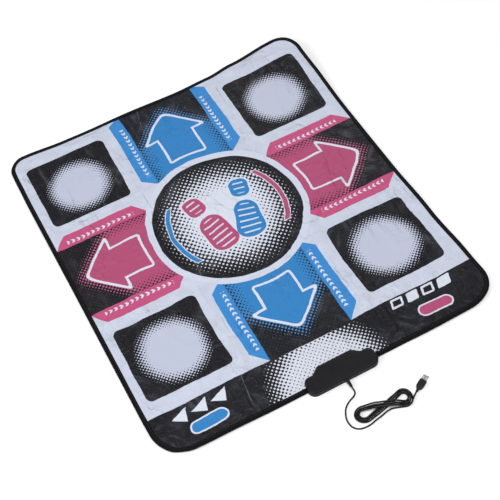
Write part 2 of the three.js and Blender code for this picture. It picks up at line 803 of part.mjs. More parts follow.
function addLead() {
  const free = new THREE.Group();
  free.position.set(cableX, boxFaceY + reliefLength, 0);
  group.add(free);
  const lead = freeTube(leadRoute);
  addPiece('cord_lead', lead.geometry, colours.cord, 0, free);
  const route = hankRoute();
  addPiece('cord_hank', ringTube(route, cordRadius, hankSides), colours.cord, 0, free);
  const tail = freeTube(tailRoute);
  addPiece('cord_tail', tail.geometry, colours.cord, 0, free);
  addPlug(free);
  const { gap, length } = leastGap(route);
  console.log(`hank: ${length.toFixed(0)} mm long, least gap to itself ${gap.toFixed(2)} mm`);
  console.log(`hank ends: ${route[0].toArray().map((v) => v.toFixed(1))}`);
  console.log(`and ${route.at(-1).toArray().map((v) => v.toFixed(1))}`);
  console.log(`whole lead: ${(lead.length + length + tail.length).toFixed(0)} mm`);
}

function addPlug(parent) {
  const plug = new THREE.Group();
  const [entryX, entryY, entryZ] = tailRoute.at(-1);
  plug.position.set(entryX, entryY, entryZ);
  plug.rotation.z = plugHeading;
  parent.add(plug);
  const neck = turned([
    [0, fitGap],
    [plugNeckTipRadius, fitGap],
    [plugNeckRadius, plugNeckLength],
    [plugNeckRadius, plugNeckLength + plugBodyBevel + overrun],
    [0, plugNeckLength + plugBodyBevel + overrun],
  ]).rotateZ(-Math.PI / 2);
  const bodyX = plugNeckLength + plugBodyLength / 2;
  const bodyCorners = rectangleCorners(bodyX, 0, plugBodyLength, plugBodyWidth, plugBodyRadius);
  const body = new THREE.ExtrudeGeometry(roundedShape(bodyCorners, -plugBodyBevel), {
    depth: plugBodyThickness - 2 * plugBodyBevel,
    bevelThickness: plugBodyBevel,
    bevelSize: plugBodyBevel,
    bevelSegments: arcSegments,
    curveSegments: arcSegments,
  });
  body.translate(0, 0, plugBodyBevel - plugBodyThickness / 2);
  addPiece('plug_overmould', joined(body, neck), colours.casing, 0, plug);
  const shellX = plugNeckLength + plugBodyLength + laidGap;
  const rim = new THREE.Shape(rectangleCorners(0, 0, plugShellHeight, plugShellWidth)
    .map(([x, y]) => new THREE.Vector2(x, y)));
  const inside = rectangleCorners(
    0, 0, plugShellHeight - 2 * plugShellWall, plugShellWidth - 2 * plugShellWall,
  );
  rim.holes = [new THREE.Path(inside.map(([x, y]) => new THREE.Vector2(x, y)))];
  const shell = prism(rim, plugShellLength).rotateY(Math.PI / 2).translate(shellX, 0, 0);
  addPiece('plug_shell', shell, colours.steel, 0, plug);
  const insertLength = plugShellLength - plugInsertSetback;
  const insertWidth = plugShellWidth - 2 * plugShellWall - 2 * plugInsertGap;
  const insertZ = plugShellHeight / 2 - plugShellWall - plugInsertGap - plugInsertHeight;
  const insert = block(
    shellX + insertLength / 2, 0, insertZ, insertLength, insertWidth, plugInsertHeight,
  );
  addPiece('plug_insert', insert, colours.nylon, 0, plug);
}

addMatLayers();
addButtons();
addControlBox();
addLead();

export default group;
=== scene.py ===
"""Looks of a soft dance mat with a control box and a plug lead, at the places of its model: the
origin lies under the mat's middle, +Z is up, and the control box sits on the edge towards +Y.
Lengths are in millimetres, but those of the camera, the lights and the floor are in metres."""

import math
from functools import reduce

import bpy
import numpy as np
from mathutils import Matrix, Vector


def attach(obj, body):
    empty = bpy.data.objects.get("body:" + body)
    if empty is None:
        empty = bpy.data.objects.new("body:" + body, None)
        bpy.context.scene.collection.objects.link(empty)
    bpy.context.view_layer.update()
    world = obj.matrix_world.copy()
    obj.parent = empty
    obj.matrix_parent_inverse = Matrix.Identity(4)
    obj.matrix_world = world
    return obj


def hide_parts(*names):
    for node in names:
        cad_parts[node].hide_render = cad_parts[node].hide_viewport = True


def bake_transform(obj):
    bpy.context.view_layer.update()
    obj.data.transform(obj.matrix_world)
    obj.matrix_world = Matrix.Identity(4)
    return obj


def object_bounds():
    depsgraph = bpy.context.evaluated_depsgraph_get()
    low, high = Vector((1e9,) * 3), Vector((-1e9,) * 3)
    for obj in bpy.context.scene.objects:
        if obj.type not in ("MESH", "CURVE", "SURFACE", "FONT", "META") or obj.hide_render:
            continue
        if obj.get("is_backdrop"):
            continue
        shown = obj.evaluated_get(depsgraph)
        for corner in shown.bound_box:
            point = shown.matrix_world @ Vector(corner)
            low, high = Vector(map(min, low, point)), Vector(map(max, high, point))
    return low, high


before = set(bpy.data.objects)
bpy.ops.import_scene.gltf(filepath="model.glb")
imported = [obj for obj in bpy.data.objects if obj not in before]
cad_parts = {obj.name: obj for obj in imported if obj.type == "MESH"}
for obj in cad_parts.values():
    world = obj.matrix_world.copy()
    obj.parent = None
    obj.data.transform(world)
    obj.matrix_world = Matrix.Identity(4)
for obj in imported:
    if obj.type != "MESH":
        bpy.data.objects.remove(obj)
CAD_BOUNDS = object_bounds()

MM = 0.001
TINY = 0.001
NEARLY = 0.1

# Camera
LENS = 80.35
SENSOR = 36.0
CAMERA_PLACE = (0.5525, 1.4326, 2.0943)
CAMERA_RIGHT = (-0.8812, 0.4674, -0.0708)
CAMERA_UP = (-0.4206, -0.7070, 0.5685)
CAMERA_FORWARD = (-0.2156, -0.5307, -0.8196)
VIEW_DEPTH = 20.0

# Lead: the route to the hank and the tail to the plug are given from the sleeve's tip
CORD_DIAMETER = 3.6
CORD_RADIUS = CORD_DIAMETER / 2
SLEEVE_TIP = (-17.0, 496.5)
LEAD_DROP = [(0, 0.3, 8), (0, 5, 7.4), (-0.8, 10, 4.8), (0.7, 15, 2.6), (7.4, 19.9, 1.85)]
LEAD_ON_FLOOR = [
    (17.4, 23.7), (27.4, 29.1), (35.6, 36.3), (41.4, 45.5), (45.6, 55.5), (47, 65.5),
    (45.4, 76.5), (39.6, 85.3), (30.4, 90.5), (19.4, 92.3), (7.4, 91.7), (-5, 89.1),
    (-20, 86.6), (-35, 83.2), (-46, 82.9), (-54, 84.9), (-62.5, 88.2),
]
TAIL_ROUTE = [(-99.5, 84, 5.2), (-105.2, 79.6, 4.2), (-111, 75.9, 4)]
HANK_PLACE = (-35.8, 66.9)
HANK_TILT = math.radians(-4.3)
LOBE_SPACING = 92.0
LOBE_RADIUS = 13.5
HANK_PITCH = 4.4
LOOPS_IN_LAYER = 2.5
LAYER_RISE = 4.15
ARC_STEPS = 8
RUN_STEPS = 4
HANK_END_TURN = math.radians(50)
HANK_FINENESS = 2

# How much taller the hank's lobes lie and how far they sag, in the middle and more at one side
LOBE_GROWTH = (0.02, -0.09)
LOBE_SAG = (3.4, -0.6)

CORD_STEP = 3.0
CORD_BEVEL = 4
PLUG_HEADING = math.radians(209)

# Mat: each layer's heights are its underside's and its top's
MAT_WIDTH = 815.0
MAT_LENGTH = 925.0
BOX_EDGE_RADIUS = 58.0
FAR_EDGE_RADIUS = 42.0
BINDING_WIDTH = 10.0
DISC_Y = -42.5
BOTTOM_Z = (0.0, 0.8)
FOAM_Z = (0.9, 2.9)
LOWER_FILM_Z = (3.0, 3.2)
SPACER_Z = (3.5, 4.7)
UPPER_FILM_Z = (4.8, 5.0)
TOP_Z = (5.1, 5.9)
BINDING_TOP = 6.8
SHEET_EDGE = 3.0
BACKING_EDGE = 10.3
LAYER_EDGE = 1.6
STRIP = 9.0
PILL_STRIP = 8.0
NOTCH_X = (-103.8, 70.8)
NOTCH_Y = 440.5
NOTCH_TAPER_SHARE = 6 / 43
LOW_NOTCH_Y = 421.7
BOX_X = -16.5
BOX_FACE_Y = 478.5

# Pads as (least x, most x, least y, most y, width of the edge strip), from the disc's middle
PADS = {
    "up": (-98, 98, 200, 372, STRIP), "down": (-98, 98, -372, -200, STRIP),
    "left": (-372, -200, -98, 98, STRIP), "right": (200, 372, -98, 98, STRIP),
    "up_left": (-370, -168, 164.5, 361.5, STRIP), "up_right": (168, 370, 164.5, 361.5, STRIP),
    "down_left": (-370, -168, -361.5, -164.5, STRIP),
    "down_right": (168, 370, -361.5, -164.5, STRIP),
    "start": (233.5, 320.5, 444, 476, PILL_STRIP), "select": (-320.5, -233.5, 444, 476, PILL_STRIP),
}
PAD_SLOTS = {
    "up": "print_blue", "down": "print_blue", "left": "print_pink", "right": "print_pink",
    "start": "print_blue", "select": "print_pink",
}


# Camera and lead first

def add_object(name, data):
    made = bpy.data.objects.new(name, data)
    bpy.context.scene.collection.objects.link(made)
    return made


def make_camera():
    data = bpy.data.cameras.new("camera")
    data.lens = LENS
    data.sensor_width = SENSOR
    data.sensor_fit = "HORIZONTAL"
    data.clip_end = VIEW_DEPTH
    camera = add_object("camera", data)
    back = -Vector(CAMERA_FORWARD)
    turn = Matrix((CAMERA_RIGHT, CAMERA_UP, back)).transposed().to_4x4()
    camera.matrix_world = Matrix.Translation(CAMERA_PLACE) @ turn
    bpy.context.scene.camera = camera


def hank_points():
    slope = math.asin(2 * LOBE_RADIUS / LOBE_SPACING)
    arc_turn = math.pi + 2 * slope
    arc_share = ARC_STEPS / (2 * (ARC_STEPS + RUN_STEPS))
    run_share = 0.5 - arc_share
    climb_end = LOOPS_IN_LAYER + arc_share
    last = 2 * LOOPS_IN_LAYER + arc_share * HANK_END_TURN / arc_turn
    steps = 2 * (ARC_STEPS + RUN_STEPS) * HANK_FINENESS
    turns = [i / steps for i in range(int(last * steps) + 1)] + [last]
    points = []
    for turn in turns:
        within = turn % 1
        on_right = within >= 0.5
        mirror = 1 if on_right else -1
        along = within - 0.5 if on_right else within
        arc_part = min(along / arc_share, 1)
        run_part = max(along - arc_share, 0) / run_share
        angle = arc_turn * (0.5 - arc_part)
        spoke = Vector((mirror * math.cos(angle), math.sin(angle)))
        place = Vector((mirror * LOBE_SPACING / 2, 0)) + spoke * LOBE_RADIUS
        run = Vector((-mirror * math.cos(slope), math.sin(slope)))
        place += run * (LOBE_SPACING * math.cos(slope) * run_part)
        out_part = min(turn / LOOPS_IN_LAYER, 1)
        back_part = max(turn - climb_end, 0) / (last - climb_end)
        offset = HANK_PITCH * LOOPS_IN_LAYER * (out_part - back_part - 0.5)
        place += spoke * (mirror * offset)
        away = place.x / (LOBE_SPACING / 2)
        place.y *= 1 + LOBE_GROWTH[0] + LOBE_GROWTH[1] * away
        place.y += LOBE_SAG[0] + LOBE_SAG[1] * away ** 2
        place = Vector(HANK_PLACE) + Matrix.Rotation(HANK_TILT, 2) @ place
        layer = min(max((turn - LOOPS_IN_LAYER) / arc_share, 0), 1)
        over = min(1, RUN_STEPS * run_part, RUN_STEPS * (1 - run_part))
        level = layer + over * (layer + (1 if on_right else 0))
        z = CORD_RADIUS + LAYER_RISE * level
        points.append((*place, z))
    return points


def smooth_line(points, step):
    """Points at about one step along a centripetal curve through the given points."""
    given = [Vector(p) for p in points]
    given = [given[0] * 2 - given[1]] + given + [given[-1] * 2 - given[-2]]
    line = []
    for a, b, c, d in zip(given, given[1:], given[2:], given[3:]):
        t1 = (b - a).length ** 0.5
        t2 = t1 + (c - b).length ** 0.5
        t3 = t2 + (d - c).length ** 0.5
        count = max(1, round((c - b).length / step))
        for i in range(count):
            t = t1 + (t2 - t1) * i / count
            ab = a.lerp(b, t / t1)
            bc = b.lerp(c, (t - t1) / (t2 - t1))
            cd = c.lerp(d, (t - t2) / (t3 - t2))
            abc = ab.lerp(bc, t / t2)
            bcd = bc.lerp(cd, (t - t1) / (t3 - t1))
            line.append(abc.lerp(bcd, (t - t1) / (t2 - t1)))
    return line + [given[-2]]


def lead_line():
    on_floor = [(x, y, CORD_RADIUS) for x, y in LEAD_ON_FLOOR]
    route = LEAD_DROP + on_floor + hank_points() + TAIL_ROUTE
    points = [(SLEEVE_TIP[0] + x, SLEEVE_TIP[1] + y, z) for x, y, z in route]
    return smooth_line(points, CORD_STEP)


def make_cord(line):
    data = bpy.data.curves.new("lead", "CURVE")
    data.dimensions = "3D"
    data.bevel_depth = 1
    data.bevel_resolution = CORD_BEVEL
    data.use_fill_caps = True
    spline = data.splines.new("POLY")
    spline.points.add(len(line) - 1)
    for point, place in zip(spline.points, line):
        point.co = (*(place * MM), 1)
        point.radius = CORD_RADIUS * MM
    return add_object("lead", data)


make_camera()
LEAD = make_cord(lead_line())
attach(LEAD, "mat")
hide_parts("cord_lead", "cord_hank", "cord_tail")


# Node fields: a number that varies over a surface, written as arithmetic

def put(socket, value):
    """Sets a socket to a number or a colour, or links it to a field or to another socket."""
    if isinstance(value, Field):
        value = value.socket
    if isinstance(value, (int, float)):
        socket.default_value = value
    elif isinstance(value, tuple):
        socket.default_value = (*value, 1)
    else:
        socket.id_data.links.new(value, socket)


def put_all(node, inputs):
    """Puts each value in the input of its name, where an underscore stands for a space."""
    for name, value in inputs.items():
        put(node.inputs[name.replace("_", " ")], value)
    return node


def add_node(tree, kind, **inputs):
    return put_all(tree.nodes.new("ShaderNode" + kind), inputs)


def calculate(kind, *values, clamp=False):
    tree = next(value.socket.id_data for value in values if isinstance(value, Field))
    made = add_node(tree, "Math")
    made.operation = kind
    made.use_clamp = clamp
    for socket, value in zip(made.inputs, values):
        put(socket, value)
    return Field(made.outputs[0])


class Field:
    def __init__(self, socket):
        self.socket = socket

    def __add__(self, other):
        return calculate("ADD", self, other)

    def __sub__(self, other):
        return calculate("SUBTRACT", self, other)

    def __rsub__(self, other):
        return calculate("SUBTRACT", other, self)

    def __mul__(self, other):
        return calculate("MULTIPLY", self, other)

    def __truediv__(self, other):
        return calculate("DIVIDE", self, other)

    def __abs__(self):
        return calculate("ABSOLUTE", self)

    __radd__ = __add__
    __rmul__ = __mul__


def low(*values):
    return reduce(lambda a, b: calculate("MINIMUM", a, b), values)


def high(*values):
    return reduce(lambda a, b: calculate("MAXIMUM", a, b), values)


def length(x, y):
    return calculate("SQRT", calculate("MULTIPLY_ADD", x, x, y * y))


def share(field, more=0.0):
    """The field plus a number, kept from 0 to 1."""
    return calculate("ADD", field, more, clamp=True)


def graded(field, gain, more):
    """A field with its contrast raised by a gain, kept from 0 to 1."""
    return share(field * gain, more)


def ramp(field, start, end):
    """0 at start, 1 at end, and further on past both."""
    return (field - start) / (end - start)


def cosine(field):
    return calculate("COSINE", field)


def woven(across, along):
    """Crests and dips of crossing threads, from 0 to 1, by their turns."""
    return cosine(across) * cosine(along) * 0.5 + 0.5


def fraction(field):
    return calculate("FRACT", field)


def repeated(place, pitch):
    """The place within one cell of a repeated drawing, from the cell's middle."""
    return (fraction(place / pitch) - 0.5) * pitch


def inside(distance, softness=0.5):
    """1 where a distance is below zero, over a soft edge of that many millimetres."""
    return calculate("MULTIPLY_ADD", distance, -1 / softness, 0.5, clamp=True)


def round_max(first, second, radius):
    """Where both distances are below zero, with a round corner."""
    a = first + radius
    b = second + radius
    return length(high(a, 0.0), high(b, 0.0)) + low(high(a, b), 0.0) - radius


def round_box(x, y, half_x, half_y, radius):
    return round_max(abs(x) - half_x, abs(y) - half_y, radius)


def halftone(x, y, pitch, cover):
    """Ink of a dot screen at 45 degrees for a cover from 0 to 1."""
    turn = 2 * math.pi / (pitch * math.sqrt(2))
    screen = 0.5 - 0.25 * (cosine((x + y) * turn) + cosine((x - y) * turn))
    return share((cover - screen) * DOT_SHARPNESS, 0.5)


def mix(factor, first, second):
    made = add_node(factor.socket.id_data, "Mix")
    made.data_type = "RGBA"
    for socket, value in zip([s for s in made.inputs if s.enabled], (factor, first, second)):
        put(socket, value)
    return next(s for s in made.outputs if s.enabled)


def noise(vector, scale, detail=3.0, roughness=0.5):
    made = add_node(vector.id_data, "TexNoise", Vector=vector, Scale=scale, Detail=detail,
                    Roughness=roughness)
    return Field(made.outputs["Fac"])


def pulled_noise(across, along, squeeze, scale):
    """Sharp folds that run along one way, in patches."""
    tree = across.socket.id_data
    place = add_node(tree, "CombineXYZ", X=across * MM, Y=along * (MM * squeeze))
    spread = add_node(tree, "CombineXYZ", X=across * MM, Y=along * MM)
    folds = noise(place.outputs[0], scale, *FOLDS)
    patch = noise(spread.outputs[0], scale * FOLD_PATCHES[0], FOLD_PATCHES[1])
    return graded(abs(folds - 0.5), *FOLD_GAIN) * graded(patch, *FOLD_PATCH_GAIN)


def bump(height, depth, strength=1.0, **under):
    """A relief that many millimetres deep, over the one under it."""
    made = add_node(height.socket.id_data, "Bump", Height=height, Distance=depth * MM,
                    Strength=strength, **under)
    return made.outputs["Normal"]


def dress(material, **inputs):
    put_all(material.node_tree.nodes["Principled BSDF"], inputs)


def new_material(name, **inputs):
    material = bpy.data.materials.new(name)
    material.use_nodes = True
    dress(material, **inputs)
    return material


def place_of(material):
    return add_node(material.node_tree, "TexCoord").outputs["Object"]


def coordinates(place, count=2):
    """The first coordinates of a place, in millimetres."""
    split = add_node(place.id_data, "SeparateXYZ", Vector=place)
    return [Field(socket) * (1 / MM) for socket in split.outputs[:count]]


def speckled(name, dark, light, scale, detail=2.0, rough=None, relief=None, grain=None, **inputs):
    """A mottled material: rough is (least, spread), relief (depth, strength), grain its noise."""
    material = new_material(name, **inputs)
    place = place_of(material)
    tone = noise(place, scale, detail)
    dress(material, Base_Color=mix(tone, dark, light))
    if rough:
        dress(material, Roughness=tone * rough[1] + rough[0])
    if relief:
        dress(material, Normal=bump(noise(place, *grain) if grain else tone, *relief))
    return material


# The print, in millimetres from the middle of the disc

LILAC = (0.53, 0.57, 0.68)
LILAC_SHADE = (0.4558, 0.4902, 0.5848)
DISC_LILAC = (0.44, 0.47, 0.58)
WHITE = (0.585, 0.615, 0.71)
FAN_WHITE = (0.56, 0.59, 0.67)
BLUE = (0.026, 0.187, 0.462)
PINK = (0.375, 0.064, 0.152)
STRIP_BLUE = (0.034, 0.21, 0.52)
STRIP_PINK = (0.455, 0.072, 0.18)
BLACK = (0.006, 0.006, 0.009)
# Pale grey painted along folds of the dark print: partly stress whitening, partly painted glints
SCUFF_AND_GLINT = (0.16, 0.17, 0.20)
DOT_SHARPNESS = 11.0
SIDE_SOFTNESS = 1.0

# Corner pads and disc, with the radii where their pale dots end and where they join
PAD_MIDDLE = (269.0, 263.0)
PAD_HALF = (101.0, 98.5)
PAD_CORNER = 14.0
PAD_PITCH = 6.3
SPOT_FADE = (88.5, 56.5)
NEAR_SPOT_OUT = 4.0
FAR_SPOT_IN = 8.0
FAR_SPOT_LESS = 4.0
DISC_PLACE = (2.0, 7.2)
DISC_RADIUS = 177.6
RING_RADIUS = 194.0
DISC_PITCH = 9.35
DISC_FADE = (166.0, 70.0)

# Arrow panels: half widths lie across a panel, the other places away from the disc
PANEL_HALF = 134.0
PANEL_MIDDLE_HALF = 99.0
PANEL_START = 188.0
PANEL_END = 398.0
FAR_PANEL_MORE = 24.0
SIDE_PANEL_MORE = 16.0
CHAMFER_WAY = (0.648, 0.761)
ARROW_PITCH = 7.4
SIDE_FADE = (66.0, 132.0)
HEAD_FADE = (-18.48, 25.52)
HEAD_TIP = 366.0
HEAD_BLUNTNESS = 110.0
HEAD_WAY = (0.715, 0.699)
HEAD_BASE = 279.0
HEAD_CORNER = 9.0
SHAFT_HALF = 48.5
SHAFT_START = 212.0
SHAFT_CORNER = 8.0
ARROW_LINE = (1.5, 4.2)
PALE_GAIN = (1.2, -0.2)
PALE_MOST = 0.12
CHEVRON_MIDDLE = (111.0, 277.0)
CHEVRON_ROW_HALF = 84.0
CHEVRON_PITCH = 13.0
CHEVRON_SLOPE = 0.9
CHEVRON_HALF = (4.6, 2.9)

# Band by the control box
BAND_Y = 397.5
FAN_PLACE = (6.0, 503.0)
FAN_CUT = 401.0
FAN_PITCH = 7.95
FAN_FADE = (148.0, 76.0)
FAN_FULLEST = 0.86
PILL_PLACE = (277.0, 460.0)
PILL_SHAPE = (43.5, 16.0, 15.9)
PILL_LINE = 3.6
MARKS_Y = 413.5
START_MARKS_MORE = 8.0
MARKS_LEAN = 0.3
WEDGE_ROW = (282.0, 69.0)
WEDGE_PITCH = 46.0
WEDGE_ENDS = (-17.0, 19.0)
WEDGE_SLOPE = 0.46
FRAME_ROW = (-266.0, 79.0)
FRAME_PITCH = 40.0
FRAME_SHAPE = (15.0, 12.0, 3.0)
FRAME_LINE = 5.0
FILLED_LINE = 105.0

# Shoe soles and the curved bars outside them
SOLE_X = 47.0
SOLE_TURN = math.radians(13)
SOLE_TAPER = (1.06, 0.0022)
FRONT_PLACE = 34.0
FRONT_SHAPE = (31.0, 52.0, 27.0)
HEEL_PLACE = -58.0
HEEL_SHAPE = (23.0, 27.0, 18.0)
SOLE_LINE = 4.5
GRIP_PITCH = 16.0
GRIP_HALF = 2.0
GRIP_EDGE = 9.0
BAR_RADIUS = 140.0
BAR_HALF = 5.0
BAR_REACH = (60.0, 84.0)
BAR_LINE = 2.0

# Wear of the print and painted glints: how far its edges stray, a painted glint along one hard fold
# and how much the scuffs show, partly stress whitening and partly painted glints
RAGGED_EDGE = 1.2
RAGGED_PATCH = 5.0
WANDER = 15.0
# A painted highlight along one hard fold: its slope, place and half width
CREASE_GLINT_SLOPE = 0.15
CREASE_GLINT_PLACE = 112.0
CREASE_GLINT_HALF = 1.7
TAUT_SPOT = (52.0, 82.0)
TAUT_LEAST = 0.2
SCUFF_AND_GLINT_SQUEEZE = 0.14
SCUFF_AND_GLINT_SCALES = (24, 34, 20)
SCUFF_AND_GLINT_MOST = (0.24, 0.6)
STREAK_SQUEEZE = 0.2
STREAK_SCALES = (26, 24)
PRINT_ROUGHNESS = (0.24, 0.3)

# Noises of the wear, the relief and the painted glints, as (scale, detail, roughness), and gains,
# as (factor, what is added)
RAGGED = (160, 1.0)
MOTTLE = (26, 4.0, 0.6)
WANDER_ALONG_X = (7, 2.0)
WANDER_ALONG_Y = (6, 2.0, 0.4)
GLOSS = (30, 3.0, 0.55)
RIDGES = (16, 2.5)
RIDGE_PATCHES = (9, 2.0)
CRUMPLE = (45, 4.0, 0.62)
CRINKLE = (210, 3.0, 0.6)
GRAIN = (900, 2.0)
SHADE_GAIN = (2.4, -0.7)
DARK_GAIN = (-9, 1)
CREASE_GLINT_GAIN = (8, -3.2)
RIDGE_GAIN = (-14, 1)
RIDGE_PATCH_GAIN = (5, -2.2)

# Folds of a pulled noise, as (detail, roughness), and their patches, as (share of scale, detail)
FOLDS = (3.0, 0.45)
FOLD_PATCHES = (1 / 3, 2.0)
FOLD_GAIN = (-9, 1)
FOLD_PATCH_GAIN = (6, -3)

# Reliefs of the print, as (depth, strength)
CRUMPLE_RELIEF = (4.6, 0.9)
RIDGE_RELIEF = (2.8, 0.9)
STREAK_RELIEF = (3.0, 0.9)
CRINKLE_RELIEF = (1.0, 0.9)
GRAIN_RELIEF = (0.12, 0.5)


def pads_and_disc(x, y, ax, ay, radius):
    """The corner pads and the disc, as (mask, colour) layers."""
    pad_x = ax - PAD_MIDDLE[0]
    pad_y = ay - PAD_MIDDLE[1]
    far = inside(y, SIDE_SOFTNESS)
    spot_y = pad_y + far * (FAR_SPOT_IN + NEAR_SPOT_OUT) - NEAR_SPOT_OUT
    spot_radius = length(pad_x, spot_y) + far * FAR_SPOT_LESS
    spot = halftone(x, y, PAD_PITCH, ramp(spot_radius, *SPOT_FADE))
    dots = halftone(x, y, DISC_PITCH, ramp(radius, *DISC_FADE))
    return [
        (inside(round_box(pad_x, pad_y, *PAD_HALF, PAD_CORNER)), mix(spot, BLACK, DISC_LILAC)),
        (inside(radius - RING_RADIUS), LILAC),
        (inside(radius - DISC_RADIUS), mix(dots, BLACK, WHITE)),
    ]


def arrow_panels(x, y, ax, ay, radius, upright):
    """The four arrow panels share one drawing: p runs across a panel and q away from the disc."""
    p = low(ax, ay)
    q = high(ax, ay)
    end = inside(y, SIDE_SOFTNESS) * upright * FAR_PANEL_MORE + PANEL_END
    bleed = (1 - upright) * SIDE_PANEL_MORE
    outer = (p + q - end - PANEL_MIDDLE_HALF) * math.sqrt(0.5)
    inner = (p - PANEL_HALF) * CHAMFER_WAY[0] - (q - PANEL_START) * CHAMFER_WAY[1]
    panel = inside(high(p - PANEL_HALF, q - end - bleed, outer, inner, RING_RADIUS - radius))
    blunt = calculate("SQRT", p * p + HEAD_BLUNTNESS)
    slant = blunt * HEAD_WAY[0] + (q - HEAD_TIP) * HEAD_WAY[1]
    ink = ramp(slant, *HEAD_FADE)
    dots = halftone(x, y, ARROW_PITCH, share(1 - high(ramp(p, *SIDE_FADE), ink)))
    colour = mix(upright, PINK, BLUE)
    pale = mix(graded(ink, *PALE_GAIN) * PALE_MOST, colour, WHITE)
    mark_p = p - CHEVRON_MIDDLE[0]
    line = abs(repeated(q - abs(mark_p) * CHEVRON_SLOPE, CHEVRON_PITCH)) - CHEVRON_HALF[1]
    row = abs(q - CHEVRON_MIDDLE[1]) - CHEVRON_ROW_HALF
    chevrons = inside(high(line, abs(mark_p) - CHEVRON_HALF[0], row), SIDE_SOFTNESS)
    strip = mix(chevrons, mix(upright, STRIP_PINK, STRIP_BLUE), WHITE)
    body = mix(inside(p - PANEL_MIDDLE_HALF), strip, mix(dots, BLACK, pale))
    head = round_max(slant, low(HEAD_BASE - q, p - SHAFT_HALF), HEAD_CORNER)
    arrow = round_max(head, SHAFT_START - radius, SHAFT_CORNER)
    body = mix(inside(arrow - ARROW_LINE[0]), body, WHITE)
    return [(panel, mix(inside(arrow + ARROW_LINE[1]), body, colour))]


def box_edge_band(x, y, ax):
    """The black band with its dot fan, the two pills and the row of marks beside each."""
    cover = low(ramp(length(x - FAN_PLACE[0], y - FAN_PLACE[1]), *FAN_FADE), FAN_FULLEST)
    fan = halftone(x, y, FAN_PITCH, cover) * inside(FAN_CUT - y)
    band = mix(fan, BLACK, FAN_WHITE)
    right = inside(0 - x, SIDE_SOFTNESS)
    pill = round_box(ax - PILL_PLACE[0], y - PILL_PLACE[1], *PILL_SHAPE)
    band = mix(inside(pill), band, WHITE)
    band = mix(inside(pill + PILL_LINE), band, mix(right, PINK, BLUE))
    mark_y = y - right * START_MARKS_MORE - MARKS_Y
    lean = x - mark_y * MARKS_LEAN
    row_x = lean - WEDGE_ROW[0]
    cell = repeated(row_x + WEDGE_PITCH / 2, WEDGE_PITCH)
    sides = abs(mark_y) - (WEDGE_ENDS[1] - cell) * WEDGE_SLOPE
    wedge = high(sides, WEDGE_ENDS[0] - cell, abs(row_x) - WEDGE_ROW[1])
    row_x = lean - FRAME_ROW[0]
    box = round_box(repeated(row_x, FRAME_PITCH), mark_y, *FRAME_SHAPE)
    odd = fraction(calculate("FLOOR", row_x / FRAME_PITCH) * 0.5) * 2
    hollow = odd * (FILLED_LINE - FRAME_LINE) - FILLED_LINE - box
    frame = high(box, abs(row_x) - FRAME_ROW[1], hollow)
    marks = inside(wedge) * right + inside(frame) * (1 - right)
    return [(inside(BAND_Y - y), mix(share(marks), band, WHITE))]


def shoe_marks(x, y):
    """A pair of plain shoe soles, with a curved bar outside each, in the middle of the disc."""
    side = abs(x) - SOLE_X
    along = side * -math.sin(SOLE_TURN) + y * math.cos(SOLE_TURN)
    across = side * math.cos(SOLE_TURN) + y * math.sin(SOLE_TURN)
    wide = across * (SOLE_TAPER[0] - along * SOLE_TAPER[1])
    front = round_box(wide, along - FRONT_PLACE, *FRONT_SHAPE)
    sole = low(front, round_box(across, along - HEEL_PLACE, *HEEL_SHAPE))
    left = inside(x, SIDE_SOFTNESS)
    grip = high(abs(repeated(along, GRIP_PITCH)) - GRIP_HALF, sole + GRIP_EDGE)
    colour = mix(inside(grip), mix(left, PINK, BLUE), WHITE)
    ring = abs(length(x, y) - BAR_RADIUS) - BAR_HALF
    bar = high(ring, abs(y) - BAR_REACH[1], BAR_REACH[0] - abs(x))
    return [
        (inside(bar - BAR_LINE), WHITE), (inside(bar), mix(left, BLUE, PINK)),
        (inside(sole - SOLE_LINE), WHITE), (inside(sole), colour),
    ]


